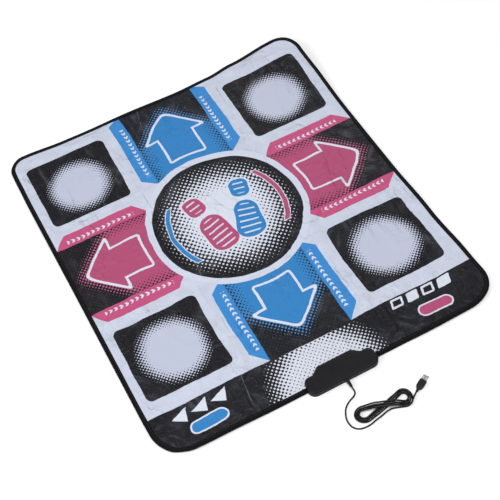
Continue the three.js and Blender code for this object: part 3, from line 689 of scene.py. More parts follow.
def print_material():
    material = new_material("printed_vinyl", IOR=1.3)
    flat = add_node(material.node_tree, "Attribute")
    flat.attribute_name = "flat_place"
    place = flat.outputs["Vector"]
    mottle = noise(place, *MOTTLE)
    ragged = (noise(place, *RAGGED) - 0.5) * RAGGED_EDGE + (mottle - 0.5) * RAGGED_PATCH
    x, y = coordinates(place)
    x = x + ragged + (noise(place, *WANDER_ALONG_X) - 0.5) * WANDER
    y = y - DISC_Y - ragged + (noise(place, *WANDER_ALONG_Y) - 0.5) * WANDER
    ax = abs(x)
    ay = abs(y)
    disc_x = x - DISC_PLACE[0]
    disc_y = y - DISC_PLACE[1]
    radius = length(disc_x, disc_y)
    layers = pads_and_disc(x, y, ax, ay, radius)
    layers += arrow_panels(x, y, ax, ay, radius, inside(ax - ay, SIDE_SOFTNESS))
    layers += box_edge_band(x, y, ax)
    layers += shoe_marks(disc_x, disc_y)
    colour = mix(graded(mottle, *SHADE_GAIN), LILAC, LILAC_SHADE)
    for mask, drawn in layers:
        colour = mix(mask, colour, drawn)
    tone = add_node(material.node_tree, "RGBToBW", Color=colour)
    dark = graded(Field(tone.outputs[0]), *DARK_GAIN)
    # Painted glints and stress whitening: pale streaks along folds, laid only on the dark print
    ways = [(x + y, x - y), (x, y), (x - y, x + y)]
    scuffs_and_glints = high(*(pulled_noise(*way, SCUFF_AND_GLINT_SQUEEZE, s) for way, s in zip(ways, SCUFF_AND_GLINT_SCALES)))
    # A painted glint along one hard fold, in patches
    crease_glint = share(1 - abs(x - y * CREASE_GLINT_SLOPE - CREASE_GLINT_PLACE) / CREASE_GLINT_HALF)
    crease_glint = crease_glint * graded(mottle, *CREASE_GLINT_GAIN)
    scuffs_and_glints = high(scuffs_and_glints * scuffs_and_glints * SCUFF_AND_GLINT_MOST[0], crease_glint * SCUFF_AND_GLINT_MOST[1])
    ridges = graded(abs(noise(place, *RIDGES) - 0.5), *RIDGE_GAIN)
    ridges = ridges * graded(noise(place, *RIDGE_PATCHES), *RIDGE_PATCH_GAIN)
    streaks = sum(pulled_noise(*way, STREAK_SQUEEZE, s)
                  for way, s in zip([(x, y), (y, x)], STREAK_SCALES))
    taut = ramp(length(ax - PAD_MIDDLE[0], ay - PAD_MIDDLE[1]), *TAUT_SPOT)
    taut = share(taut) * (1 - TAUT_LEAST) + TAUT_LEAST
    normal = bump(noise(place, *CRUMPLE) * taut, *CRUMPLE_RELIEF)
    normal = bump(ridges * taut, *RIDGE_RELIEF, Normal=normal)
    normal = bump(streaks, *STREAK_RELIEF, Normal=normal)
    normal = bump(noise(place, *CRINKLE), *CRINKLE_RELIEF, Normal=normal)
    normal = bump(noise(place, *GRAIN), *GRAIN_RELIEF, Normal=normal)
    gloss = noise(place, *GLOSS) * PRINT_ROUGHNESS[0] + PRINT_ROUGHNESS[1]
    # The pale grey of the painted glints and scuffs goes only where the print is dark
    dress(material, Base_Color=mix(scuffs_and_glints * dark, colour, SCUFF_AND_GLINT), Normal=normal, Roughness=gloss)
    return material


PRINT = print_material()


# Mottled materials

CASING = speckled("box_casing", (0.007, 0.007, 0.008), (0.012, 0.012, 0.014), 50, 3.0,
                  (0.42, 0.2), (0.1, 0.6), (1500, 2.0, 0.6), IOR=1.23)
RUBBER = speckled("soft_rubber", (0.009, 0.009, 0.010), (0.017, 0.017, 0.019), 900, 2.0,
                  (0.5, 0.2), (0.05, 0.5), IOR=1.3)
MOULDING = speckled("plug_moulding", (0.008, 0.008, 0.010), (0.015, 0.015, 0.017), 1100, 2.0,
                    (0.38, 0.18), (0.05, 0.5), IOR=1.3)
JACKET = speckled("cord_jacket", (0.006, 0.006, 0.007), (0.012, 0.012, 0.014), 120, 3.0,
                  (0.3, 0.22), (0.04, 0.5), (1600, 2.0), IOR=1.3)
STEEL = speckled("nickel_plate", (0.56, 0.57, 0.59), (0.72, 0.73, 0.75), 500, 3.0,
                 (0.2, 0.2), (0.02, 0.4), Metallic=1.0)
BOARD = speckled("solder_mask", (0.008, 0.09, 0.03), (0.014, 0.14, 0.05), 300, 3.0,
                 (0.3, 0.2), (0.05, 0.5))
EPOXY = speckled("epoxy", (0.008, 0.008, 0.009), (0.016, 0.016, 0.018), 1200, 3.0,
                 (0.5, 0.2), (0.05, 0.5))
NYLON = speckled("nylon", (0.70, 0.69, 0.64), (0.82, 0.81, 0.77), 250, 3.0,
                 (0.35, 0.2), (0.05, 0.5))
GOLD = speckled("gold_plate", (0.78, 0.55, 0.2), (0.9, 0.68, 0.3), 900,
                Metallic=1.0, Roughness=0.25)
CARBON = speckled("carbon_print", (0.010, 0.010, 0.012), (0.02, 0.02, 0.023), 500, Roughness=0.6)
THREAD = speckled("thread", (0.010, 0.010, 0.012), (0.04, 0.04, 0.044), 1200, 1.0, Roughness=0.7)


# The lie of the mat: how far it is lifted and shifted at each place

CORNER_LIFT = 19.5
CORNER_SPREAD = (-170.0, -190.0)
EDGE_WAVE = 3.0
EDGE_WAVE_SHARES = (0.45, 1.1)
WAVE_REACH = 110.0
FLAT_BY_BOX = (BOX_X, 450.0, 1.2, 120.0, 160.0)
SMOOTH_BY_BOX = (BOX_X, 455.0, 1.6, 95.0, 50.0)
CALM_EDGE = (10.0, 22.0)
RUMPLE_HEIGHTS = (0.55, 0.5, 0.75)
CREASES_X = (-152.0, 88.0, 151.0)
CREASES_Y = (-205.0, 119.0)
CREASE_HEIGHT = 1.5
CREASE_WIDTH = 3.0
CREASE_WANDER = 4.0
CREASE_SHARES = (0.55, 0.9)
PLEAT_HEIGHT = 3.4
PLEAT_REACH = 75.0
PLEAT_STRETCH = (0.12, 1.1)
LEAST_RUMPLE = 0.02

# How far each margin is drawn in, or let out where negative, as (place along it, distance)
MARGINS = {
    "right": [(-465, 9), (-380, 6.5), (-300, 5.5), (0, 6.5), (330, 6.5), (465, 9)],
    "left": [(-465, -1), (-390, 3), (-300, 0.5), (-150, 0.5), (40, 0), (200, -4.5), (330, -10.5),
             (420, -12.5), (465, -12)],
    "far": [(-400, -5), (-340, -6), (-225, 1), (-150, 11), (-60, 14), (60, 11), (250, 12),
            (350, 6), (410, 4)],
    "near": [(-400, 1.5), (-350, 0.5), (-240, -1.5), (-150, 0), (120, 0), (280, 2), (400, 6)],
}
SIDE_START = 373.0
SIDE_FULL = 400.0
SIDE_SPREAD = 60.0
BEYOND_PADS = (362.0, 45.0)
FAR_MARGIN = (416.0, 40.0)
NEAR_MARGIN = (438.0, 22.0)

# The radius that each corner is drawn to, by the signs of its x and y
CORNERS = {(1, 1): 77.0, (1, -1): 47.0, (-1, 1): 72.0, (-1, -1): 56.0}
CORNER_RIM = 14.0


def smooth(value):
    value = np.clip(value, 0, 1)
    return value * value * (3 - 2 * value)


def along_side(side, place):
    """A margin's table read with rounded steps between its places."""
    table = MARGINS[side]
    total = np.full_like(place, table[0][1], dtype=float)
    for (start, before), (end, after) in zip(table, table[1:]):
        total = total + (after - before) * smooth((place - start) / (end - start))
    return total


def round_corners(x, y):
    """Each corner drawn to its own arc, less and less towards the arc's middle."""
    for (side, end), wide in CORNERS.items():
        narrow = BOX_EDGE_RADIUS if end > 0 else FAR_EDGE_RADIUS
        u = np.maximum(x * side - MAT_WIDTH / 2 + wide, 0)
        v = np.maximum(y * end - MAT_LENGTH / 2 + wide, 0)
        away = np.maximum(np.hypot(u, v), TINY)
        along = (wide - narrow) * (u + v) / away
        arc = along + np.sqrt(np.maximum(along ** 2 - 2 * (wide - narrow) ** 2 + narrow ** 2, 0))
        straight = wide * away / np.maximum(np.maximum(u, v), TINY)
        edge = np.where(np.minimum(u, v) * arc > (wide - narrow) * away, arc, straight)
        pull = (edge - wide) * np.minimum(away / (edge - CORNER_RIM), 1) ** 2
        pull = np.where((u > 0) & (v > 0), pull, 0)
        x = x - side * pull * u / away
        y = y - end * pull * v / away
    return x, y


def drawn_in(x, y):
    x, y = round_corners(x, y)
    beyond = smooth((np.abs(y - DISC_Y) - BEYOND_PADS[0]) / BEYOND_PADS[1])
    start = SIDE_START - SIDE_SPREAD * beyond
    side = smooth((np.abs(x) - start) / (SIDE_FULL - start))
    far = smooth((-y - FAR_MARGIN[0]) / FAR_MARGIN[1])
    near = smooth((y - NEAR_MARGIN[0]) / NEAR_MARGIN[1])
    shift_x = np.where(x > 0, -along_side("right", y), along_side("left", y)) * side
    shift_y = along_side("far", x) * far - along_side("near", x) * near
    return x + shift_x, y + shift_y


def make_waves(seed, count, shortest, longest):
    """Waves in all directions, as (turn along x, turn along y, phase, size)."""
    random = np.random.default_rng(seed)
    lengths = shortest * (longest / shortest) ** random.random(count)
    angles = random.random(count) * math.pi
    phases = random.random(count) * 2 * math.pi
    return [(2 * math.pi / l * math.cos(a), 2 * math.pi / l * math.sin(a), p, l / longest)
            for l, a, p in zip(lengths, angles, phases)]


def waves(table, x, y):
    total = sum(size * np.sin(kx * x + ky * y + phase) for kx, ky, phase, size in table)
    return total / sum(size for *_, size in table)


BROAD_WAVES = make_waves(3, 9, 120, 420)
FINE_WAVES = make_waves(8, 16, 28, 90)
CREASE_WAVES = make_waves(21, 6, 60, 300)
PLEAT_WAVES = make_waves(34, 12, 22, 75)
PUCKER_WAVES = make_waves(5, 14, 9, 40)


def edge_distance(x, y):
    """How far a place is inside the mat's straight edges, less at the round corners."""
    over_x = MAT_WIDTH / 2 - np.abs(x)
    over_y = MAT_LENGTH / 2 - np.abs(y)
    radius = np.where(y > 0, BOX_EDGE_RADIUS, FAR_EDGE_RADIUS)
    corner = radius - np.hypot(np.maximum(radius - over_x, 0), np.maximum(radius - over_y, 0))
    return np.where((over_x < radius) & (over_y < radius), corner, np.minimum(over_x, over_y))


def corner_part(x, y):
    sx = smooth((CORNER_SPREAD[0] - x) / (MAT_WIDTH / 2 + CORNER_SPREAD[0]))
    sy = smooth((CORNER_SPREAD[1] - y) / (MAT_LENGTH / 2 + CORNER_SPREAD[1]))
    return sx * sy


def off_box(x, y, middle_x, middle_y, stretch, start, spread):
    """0 near the control box, rising to 1 away from it."""
    away = np.hypot(x - middle_x, (y - middle_y) * stretch)
    return smooth((away - start) / spread)


def lie(x, y):
    """Lift of every layer, zero under the control box."""
    near_edge = 1 - smooth(edge_distance(x, y) / WAVE_REACH)
    least, more = EDGE_WAVE_SHARES
    wave = EDGE_WAVE * near_edge * (least + more * waves(BROAD_WAVES, x, y))
    wave = wave * off_box(x, y, *FLAT_BY_BOX)
    return CORNER_LIFT * corner_part(x, y) + np.maximum(wave, 0)


def rumple(x, y):
    """What the printed sheet adds above the layers under it."""
    base, broad, fine = RUMPLE_HEIGHTS
    height = base + broad * waves(BROAD_WAVES, y, x) + fine * waves(FINE_WAVES, x, y)
    for places, across, along in ((CREASES_X, x, y), (CREASES_Y, y, x)):
        for place in places:
            shift = CREASE_WANDER * waves(CREASE_WAVES, along, across)
            line = (x * 0 + place, y) if across is x else (x, y * 0 + place)
            part = CREASE_SHARES[0] + CREASE_SHARES[1] * waves(CREASE_WAVES, *line)
            bell = np.exp(-((across - place - shift) / CREASE_WIDTH) ** 2)
            height = height + CREASE_HEIGHT * part * bell
    short, long = PLEAT_STRETCH
    by_side = smooth(1 - (MAT_WIDTH / 2 - np.abs(x)) / PLEAT_REACH)
    by_end = smooth(1 - (MAT_LENGTH / 2 - np.abs(y)) / PLEAT_REACH)
    pleats = np.maximum(by_side * np.abs(waves(PLEAT_WAVES, x * short, y * long)),
                        by_end * np.abs(waves(PLEAT_WAVES, x * long, y * short)))
    calm = smooth((edge_distance(x, y) - CALM_EDGE[0]) / CALM_EDGE[1])
    height = np.maximum(height + PLEAT_HEIGHT * pleats, LEAST_RUMPLE)
    return height * calm * off_box(x, y, *SMOOTH_BY_BOX)


def laid(x, y, z, ruffled=False):
    """Where a place of a flat layer comes to lie, as an array of rows, in millimetres."""
    height = z + lie(x, y)
    if ruffled:
        height = height + rumple(x, y)
    return np.stack([*drawn_in(x, y), height], axis=1)


# Meshes

PRINT_STEP = 4.2
BACKING_STEP = 9.0
HIDDEN_STEP = 15.0
SLOPE_STEP = 0.5
LEAST_SLOPE = 0.1
NORMAL_STEP = 0.4
BAKE_MARGIN = 0.005
BAKE_TOP = (0.9, 0.99)
BAKE_UNDER = (0.92, 0.07)


def add_mesh(name, vertices, faces, material, smooth_faces=True):
    mesh = bpy.data.meshes.new(name)
    mesh.from_pydata([tuple(v) for v in np.asarray(vertices) * MM], [], faces)
    mesh.polygons.foreach_set("use_smooth", [smooth_faces] * len(mesh.polygons))
    mesh.materials.append(material)
    mesh.update()
    return add_object(name, mesh)


def ring_faces(rings, sides):
    """Faces of a skin over rings of as many points each."""
    faces = []
    for i in range(rings - 1):
        for k in range(sides):
            a, b = i * sides + k, i * sides + (k + 1) % sides
            faces.append((a, b, b + sides, a + sides))
    return faces


def closed_faces(faces, count):
    """A sheet's faces, those of its other side, whose corners come count later, and its rim."""
    pairs = [pair for face in faces for pair in zip(face, face[1:] + face[:1])]
    edges = set(pairs)
    rim = [(b, a, a + count, b + count) for a, b in pairs if (b, a) not in edges]
    return faces + [tuple(i + count for i in reversed(face)) for face in faces] + rim


def even_breaks(stops, step):
    stops = sorted(set(stops))
    breaks = []
    for a, b in zip(stops, stops[1:]):
        count = max(1, math.ceil((b - a) / step))
        breaks += [a + (b - a) * i / count for i in range(count)]
    return np.array(breaks + [stops[-1]])


def outline_snap(x, y, inset):
    """Moves places that lie outside the inset mat outline onto it."""
    out = inset - edge_distance(x, y)
    step = SLOPE_STEP
    slope_x = (edge_distance(x + step, y) - edge_distance(x - step, y)) / (2 * step)
    slope_y = (edge_distance(x, y + step) - edge_distance(x, y - step)) / (2 * step)
    pull = np.maximum(out, 0) / np.maximum(np.hypot(slope_x, slope_y), LEAST_SLOPE)
    return x + pull * slope_x, y + pull * slope_y


def set_normals(mesh, up, flat_faces):
    """The given normals on both sides of a sheet, and flat ones on the faces of its rim."""
    loops = np.zeros(len(mesh.loops), dtype=np.int32)
    mesh.loops.foreach_get("vertex_index", loops)
    normals = np.concatenate([up, -up])[loops]
    for polygon in list(mesh.polygons)[flat_faces:]:
        for i in polygon.loop_indices:
            normals[i] = polygon.normal
    mesh.normals_split_custom_set([tuple(n) for n in normals])
    return loops


def slab(name, x, y, faces, z_span, material, ruffled=False):
    """A closed sheet over the flat faces, laid on the mat, with exact normals on both sides."""
    count = len(x)
    low_z, high_z = z_span
    top = laid(x, y, high_z, ruffled)
    bottom = laid(x, y, low_z, ruffled)
    made = add_mesh(name, np.concatenate([top, bottom]), closed_faces(faces, count), material)
    mesh = made.data
    step = NORMAL_STEP
    along = laid(x + step, y, high_z, ruffled) - laid(x - step, y, high_z, ruffled)
    across = laid(x, y + step, high_z, ruffled) - laid(x, y - step, high_z, ruffled)
    up = np.cross(along, across)
    up /= np.linalg.norm(up, axis=1)[:, None]
    loops = set_normals(mesh, up, 2 * len(faces))
    flat = np.stack([x, y, np.zeros(count)], axis=1) * MM
    attribute = mesh.attributes.new("flat_place", "FLOAT_VECTOR", "POINT")
    attribute.data.foreach_set("vector", np.concatenate([flat, flat]).ravel())
    u = (x - x.min()) / (x.max() - x.min())
    v = BAKE_MARGIN + BAKE_TOP[1] * (y - y.min()) / (y.max() - y.min())
    spread = np.concatenate([np.stack([BAKE_MARGIN + BAKE_TOP[0] * u, v], axis=1),
                             np.stack([BAKE_UNDER[0] + BAKE_UNDER[1] * u, v], axis=1)])
    mesh.uv_layers.new(name="OFBake").data.foreach_set("uv", spread[loops].ravel())
    return made


def used_places(faces, breaks_x, breaks_y):
    """The places of a grid that faces use, and the faces numbered by them."""
    columns = len(breaks_x)
    used = sorted({corner for face in faces for corner in face})
    number = {corner: n for n, corner in enumerate(used)}
    x = np.array([breaks_x[corner % columns] for corner in used], dtype=float)
    y = np.array([breaks_y[corner // columns] for corner in used], dtype=float)
    return x, y, [tuple(number[corner] for corner in face) for face in faces]


def cells_of(breaks_x, breaks_y, keep):
    """Grid faces whose middle passes keep, with only the corners that they use."""
    columns = len(breaks_x)
    middle_x, middle_y = np.meshgrid(
        (breaks_x[1:] + breaks_x[:-1]) / 2, (breaks_y[1:] + breaks_y[:-1]) / 2)
    rows, cols = np.nonzero(keep(middle_x, middle_y))
    first = rows * columns + cols
    corners = np.stack([first, first + 1, first + 1 + columns, first + columns], axis=1)
    return used_places(corners.tolist(), breaks_x, breaks_y)


def pad_box(name):
    x0, x1, y0, y1, strip = PADS[name]
    return x0, x1, y0 + DISC_Y, y1 + DISC_Y, strip


def beside_notch(x, y, notch_y):
    """Moves the notch's sides in along the tapered sides of the box."""
    inward = (BOX_FACE_Y - y) * NOTCH_TAPER_SHARE
    beside = y > notch_y - NEARLY
    for place, way in ((NOTCH_X[0], 1), (NOTCH_X[1], -1)):
        x = np.where(beside & (np.abs(x - place) < NEARLY), x + way * inward, x)
    return x


def declare(piece, slot, *nodes, body="mat"):
    """The body that a piece rides on and the model's nodes that it replaces; its surface's name is
    not used.
    """
    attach(piece, body)
    if nodes:
        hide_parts(*nodes)


def layer(name, role, step, edge, z_span, material, windows=False, notch_y=NOTCH_Y,
          ruffled=False):
    """A sheet of the mat's outline; its role is what declare says of it."""
    stops_x = [-MAT_WIDTH / 2 + edge, MAT_WIDTH / 2 - edge, *NOTCH_X]
    stops_y = [-MAT_LENGTH / 2 + edge, MAT_LENGTH / 2 - edge, notch_y]
    boxes = [pad_box(pad) for pad in PADS] if windows else []
    for x0, x1, y0, y1, _ in boxes:
        stops_x += [x0, x1]
        stops_y += [y0, y1]

    def keep(x, y):
        kept = edge_distance(x, y) > edge
        kept &= ~((x > NOTCH_X[0]) & (x < NOTCH_X[1]) & (y > notch_y))
        for x0, x1, y0, y1, _ in boxes:
            kept &= ~((x > x0) & (x < x1) & (y > y0) & (y < y1))
        return kept

    x, y, faces = cells_of(even_breaks(stops_x, step), even_breaks(stops_y, step), keep)
    x, y = outline_snap(x, y, edge)
    made = slab(name, beside_notch(x, y, notch_y), y, faces, z_span, material, ruffled)
    declare(made, *role)
    return made


def zone_breaks(start, end, strip):
    thirds = [strip * k / 3 for k in range(4)]
    return even_breaks([start + t for t in thirds] + [end - t for t in thirds], PRINT_STEP)


def pad_zone(x0, x1, y0, y1, strip):
    """A pad's middle and its four mitred strips: (part, x, y, faces) each."""
    breaks_x = zone_breaks(x0, x1, strip)
    breaks_y = zone_breaks(y0, y1, strip)
    columns = len(breaks_x)
    parts = {"middle": [], "left": [], "right": [], "near": [], "far": []}

    def gaps(face):
        x = np.mean([breaks_x[corner % columns] for corner in face])
        y = np.mean([breaks_y[corner // columns] for corner in face])
        return sorted([(x - x0, "left"), (x1 - x, "right"), (y - y0, "near"), (y1 - y, "far")])

    for first in range(columns * (len(breaks_y) - 1)):
        if first % columns == columns - 1:
            continue
        a, b, c, d = face = (first, first + 1, first + 1 + columns, first + columns)
        (gap, nearest), (next_gap, second), *_ = gaps(face)
        if gap > strip:
            parts["middle"].append(face)
        elif next_gap - gap > NEARLY:
            parts[nearest].append(face)
        else:
            rising = {nearest, second} in ({"left", "near"}, {"right", "far"})
            for half in ((a, b, c), (a, c, d)) if rising else ((a, b, d), (b, c, d)):
                parts[gaps(half)[0][1]].append(half)
    for part, faces in parts.items():
        yield part, *used_places(faces, breaks_x, breaks_y)


def add_printed_sheet():
    pieces = []
    field = layer("printed_field", ("print_lilac", "top_sheet"), PRINT_STEP, SHEET_EDGE, TOP_Z,
                  PRINT, True, ruffled=True)
    for pad in PADS:
        x0, x1, y0, y1, strip = pad_box(pad)
        x, y = (x0 + x1) / 2, (y0 + y1) / 2
        ends = {
            "left": ((x0, y), (x0 + strip, y)), "right": ((x1, y), (x1 - strip, y)),
            "near": ((x, y0), (x, y0 + strip)), "far": ((x, y1), (x, y1 - strip)),
        }
        for part, *flat in pad_zone(*pad_box(pad)):
            piece = slab(f"print_{pad}_{part}", *flat, TOP_Z, PRINT, True)
            slot = PAD_SLOTS.get(pad, "print_black")
            if part == "middle":
                declare(piece, slot, f"pad_{pad}", body=f"button_{pad}")
            else:
                start, end = ((px * MM, py * MM, TOP_Z[1] * MM) for px, py in ends[part])
                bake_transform(piece)
                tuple(start)
                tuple(end)
            pieces.append(piece)
    return field, pieces


PRINTED_FIELD, PAD_PRINTS = add_printed_sheet()


# Layers under the print

BACKING_DOT_PITCH = 9.0
BACKING_DOT_RADIUS = 1.7
BACKING_DOT_SOFTNESS = 0.8
BACKING_DOT_COLOUR = (0.045, 0.045, 0.048)
BACKING_ROUGHNESS = (-0.3, 0.88)
CLOTH_COLOURS = ((0.012, 0.012, 0.014), (0.022, 0.022, 0.025))
CLOTH_RELIEF = (0.5, 0.8)
WEAVE_TURN = 7.0
WEAVE_RISE = 0.1
FOAM_CELLS = 900.0
FOAM_COLOURS = ((0.62, 0.60, 0.54), (0.84, 0.82, 0.76))
FOAM_RELIEF = (0.5, 0.8)
FILM_HAZE = 60
FILM_COLOURS = ((0.66, 0.69, 0.70), (0.76, 0.78, 0.78))
FILM_ROUGHNESS = (0.2, 0.24)
TRACE_COLOUR = (0.012, 0.012, 0.014)
TRACE_PITCH = 8.0
TRACE_HALF = 2.6
SIDE_PATCH = (286.0, 72.0)
CORNER_PATCH_HALF = 87.0
PATCH_HALF = 84.0
PATCH_CORNER = 4.0
TRUNK_X = 151.0
TRUNK_HALF = 1.5
TRUNK_END = 440.0


def backing_material():
    material = new_material("backing_cloth")
    x, y = coordinates(place_of(material))
    rising = repeated(x + y, BACKING_DOT_PITCH)
    falling = repeated(x - y, BACKING_DOT_PITCH)
    dots = inside(length(rising, falling) - BACKING_DOT_RADIUS, BACKING_DOT_SOFTNESS)
    weave = woven(x * WEAVE_TURN, y * WEAVE_TURN)
    cloth = mix(weave, *CLOTH_COLOURS)
    dress(material, Base_Color=mix(dots, cloth, BACKING_DOT_COLOUR),
          Roughness=dots * BACKING_ROUGHNESS[0] + BACKING_ROUGHNESS[1],
          Normal=bump(dots + weave * WEAVE_RISE, *CLOTH_RELIEF))
    return material


def foam_material():
    material = new_material("open_foam", Roughness=0.95)
    cells = add_node(material.node_tree, "TexVoronoi", Vector=place_of(material), Scale=FOAM_CELLS)
    depth = Field(cells.outputs["Distance"])
    dress(material, Base_Color=mix(depth, *FOAM_COLOURS), Normal=bump(depth, *FOAM_RELIEF))
    return material


def film_material():
    material = new_material("circuit_film")
    place = place_of(material)
    x, y = coordinates(place)
    y = y - DISC_Y
    ax = abs(x)
    ay = abs(y)
    grid = high(abs(repeated(x, TRACE_PITCH)), abs(repeated(y, TRACE_PITCH))) - TRACE_HALF
    side = round_box(high(ax, ay) - SIDE_PATCH[0], low(ax, ay), SIDE_PATCH[1], PATCH_HALF,
                     PATCH_CORNER)
    corner = round_box(ax - PAD_MIDDLE[0], ay - PAD_MIDDLE[1], CORNER_PATCH_HALF, PATCH_HALF,
                       PATCH_CORNER)
    trunk = high(abs(ax - TRUNK_X) - TRUNK_HALF, ay - TRUNK_END)
    carbon = inside(low(high(low(side, corner), grid), trunk))
    haze = noise(place, FILM_HAZE)
    dress(material, Base_Color=mix(carbon, mix(haze, *FILM_COLOURS), TRACE_COLOUR),
          Roughness=haze * FILM_ROUGHNESS[0] + FILM_ROUGHNESS[1])
    return material


def add_hidden_layers():
    foam = foam_material()
    film = film_material()
    backing = layer("backing_sheet", ("backing", "bottom_sheet"), BACKING_STEP, BACKING_EDGE,
                    BOTTOM_Z, backing_material(), notch_y=LOW_NOTCH_Y)
    core = layer("foam_core", ("foam", "foam_pad"), HIDDEN_STEP, LAYER_EDGE, FOAM_Z, foam,
                 notch_y=LOW_NOTCH_Y)
    layer("lower_film", ("film", "lower_circuit_film", "sensor_traces"), HIDDEN_STEP, LAYER_EDGE,
          LOWER_FILM_Z, film)
    spacer = layer("spacer_foam", ("foam", "spacer_sheet"), HIDDEN_STEP, LAYER_EDGE, SPACER_Z,
                   foam, True)
    layer("upper_film", ("film", "upper_circuit_film"), HIDDEN_STEP, LAYER_EDGE, UPPER_FILM_Z,
          film, True)
    for pad in PADS:
        x0, x1, y0, y1, strip = pad_box(pad)
        flat = cells_of(even_breaks([x0 + strip, x1 - strip], HIDDEN_STEP),
                        even_breaks([y0 + strip, y1 - strip], HIDDEN_STEP),
                        lambda x, y: np.full(x.shape, True))
        patch = slab(f"patch_{pad}", *flat, UPPER_FILM_Z, CARBON)
        declare(patch, "carbon", f"contact_{pad}", body=f"button_{pad}")
    return backing, core, spacer


# Edge binding: a folded tape sewn round the mat, open where the box sits

TAPE_STEP = 3.6
TAPE_THICKNESS = 0.8
TAPE_TOP_WIDTH = 11.2
TAPE_TOP = [
    (TAPE_TOP_WIDTH, BINDING_TOP - 0.55), (TAPE_TOP_WIDTH - 0.5, BINDING_TOP - 0.1),
    (7.6, BINDING_TOP - 0.12), (6.4, BINDING_TOP),
]
TAPE_UNDER = [(7.0, 0.0), (BINDING_WIDTH, 0.05)]
LINING_UNDER = [(BINDING_WIDTH - 0.2, 0.6), (5.0, TAPE_THICKNESS)]
LINING_TOP = [(5.0, BINDING_TOP - TAPE_THICKNESS), (TAPE_TOP_WIDTH - 0.3, BINDING_TOP - 0.85)]
TAPE_BENDS = 7
TAPE_WEAVE = (5.2, 3.0)
TAPE_WEAVE_SHARE = 0.6
TAPE_TONE = 70
TAPE_COLOURS = ((0.003, 0.003, 0.004), (0.010, 0.010, 0.012))
TAPE_ROUGHNESS = (0.28, 0.7)
TAPE_RELIEF = (0.22, 0.7)
PUCKER_HEIGHT = 0.35
PUCKER_MOST = 0.25
PUCKER_FROM = (3.0, 1.0)
PUCKER_FADE = 3.0
STITCH_PITCH = 4.6
STITCH_LENGTH = 3.2
STITCH_INSET = 7.4
STITCH_WIDTH = 0.8
STITCH_SUNK = 0.3
STITCH_RISE = 0.6
STITCH_ROW = (0.0, 0.25, 0.75, 1.0)
STITCH_SECTION = [(-0.5, (0.0, 0.42)), (0.0, (0.12, 0.75)), (0.5, (0.0, 0.42))]


def outline_path(step):
    """Places round the mat's outline from the box's right side to its left, with the way in."""
    half_x, half_y = MAT_WIDTH / 2, MAT_LENGTH / 2
    corners = [
        (half_x, half_y, BOX_EDGE_RADIUS), (half_x, -half_y, FAR_EDGE_RADIUS),
        (-half_x, -half_y, FAR_EDGE_RADIUS), (-half_x, half_y, BOX_EDGE_RADIUS),
        (NOTCH_X[0], half_y, 0),
    ]
    heading = Vector((1, 0))
    path = [(Vector((NOTCH_X[1], half_y)), Vector((0, -1)))]
    for x, y, radius in corners:
        inward = Vector((heading.y, -heading.x))
        start = path[-1][0]
        stop = Vector((x, y)) - heading * radius
        count = max(1, round((stop - start).length / step))
        path += [(start.lerp(stop, k / count), inward) for k in range(1, count + 1)]
        centre = stop + inward * radius
        count = round(radius * math.pi / 2 / step)
        for k in range(1, count + 1):
            spoke = Matrix.Rotation(-math.pi / 2 * k / count, 2) @ inward
            path.append((centre - spoke * radius, spoke))
        heading = inward
    return path


def tape_profile():
    """The tape's section as (inset, height), from the top's inner edge round and back inside."""
    middle = BINDING_TOP / 2
    small = middle - TAPE_THICKNESS
    turns = [math.pi * k / TAPE_BENDS for k in range(TAPE_BENDS + 1)]
    outer = [(middle - middle * math.sin(t), middle + middle * math.cos(t)) for t in turns]
    inner = [(middle - small * math.sin(t), middle - small * math.cos(t)) for t in turns]
    return TAPE_TOP + outer + TAPE_UNDER + LINING_UNDER + inner + LINING_TOP


def tape_material():
    material = new_material("binding_tape", IOR=1.15)
    place = place_of(material)
    x, y, z = coordinates(place, 3)
    slant = z * TAPE_WEAVE[1]
    weave = woven(x * TAPE_WEAVE[0] + slant, y * TAPE_WEAVE[0] + slant)
    tone = noise(place, TAPE_TONE)
    pale = weave * TAPE_WEAVE_SHARE + tone * (1 - TAPE_WEAVE_SHARE)
    dress(material, Base_Color=mix(pale, *TAPE_COLOURS), Normal=bump(weave, *TAPE_RELIEF),
          Roughness=tone * TAPE_ROUGHNESS[0] + TAPE_ROUGHNESS[1])
    return material


def add_binding():
    path = outline_path(TAPE_STEP)
    profile = tape_profile()
    sides = len(profile)
    px, py, ix, iy = np.array([(*place, *inward) for place, inward in path]).T
    pucker = PUCKER_HEIGHT * waves(PUCKER_WAVES, px, py)
    rows = []
    for inset, height in profile:
        x = px + ix * inset
        y = py + iy * inset
        crest = smooth((height - PUCKER_FROM[0]) / PUCKER_FADE)
        crest = pucker * crest * smooth((inset - PUCKER_FROM[1]) / PUCKER_FADE)
        z = height + np.minimum(crest, PUCKER_MOST)
        rows.append(laid(beside_notch(x, y, NOTCH_Y), y, z))
    vertices = np.stack(rows, axis=1).reshape(-1, 3)
    faces = [face[::-1] for face in ring_faces(len(path), sides)]
    faces.append(tuple(range(sides)))
    faces.append(tuple(reversed(range((len(path) - 1) * sides, len(path) * sides))))
    tape = add_mesh("edge_tape", vertices, faces, tape_material())
    declare(tape, "binding_tape", "edge_binding")
    return tape


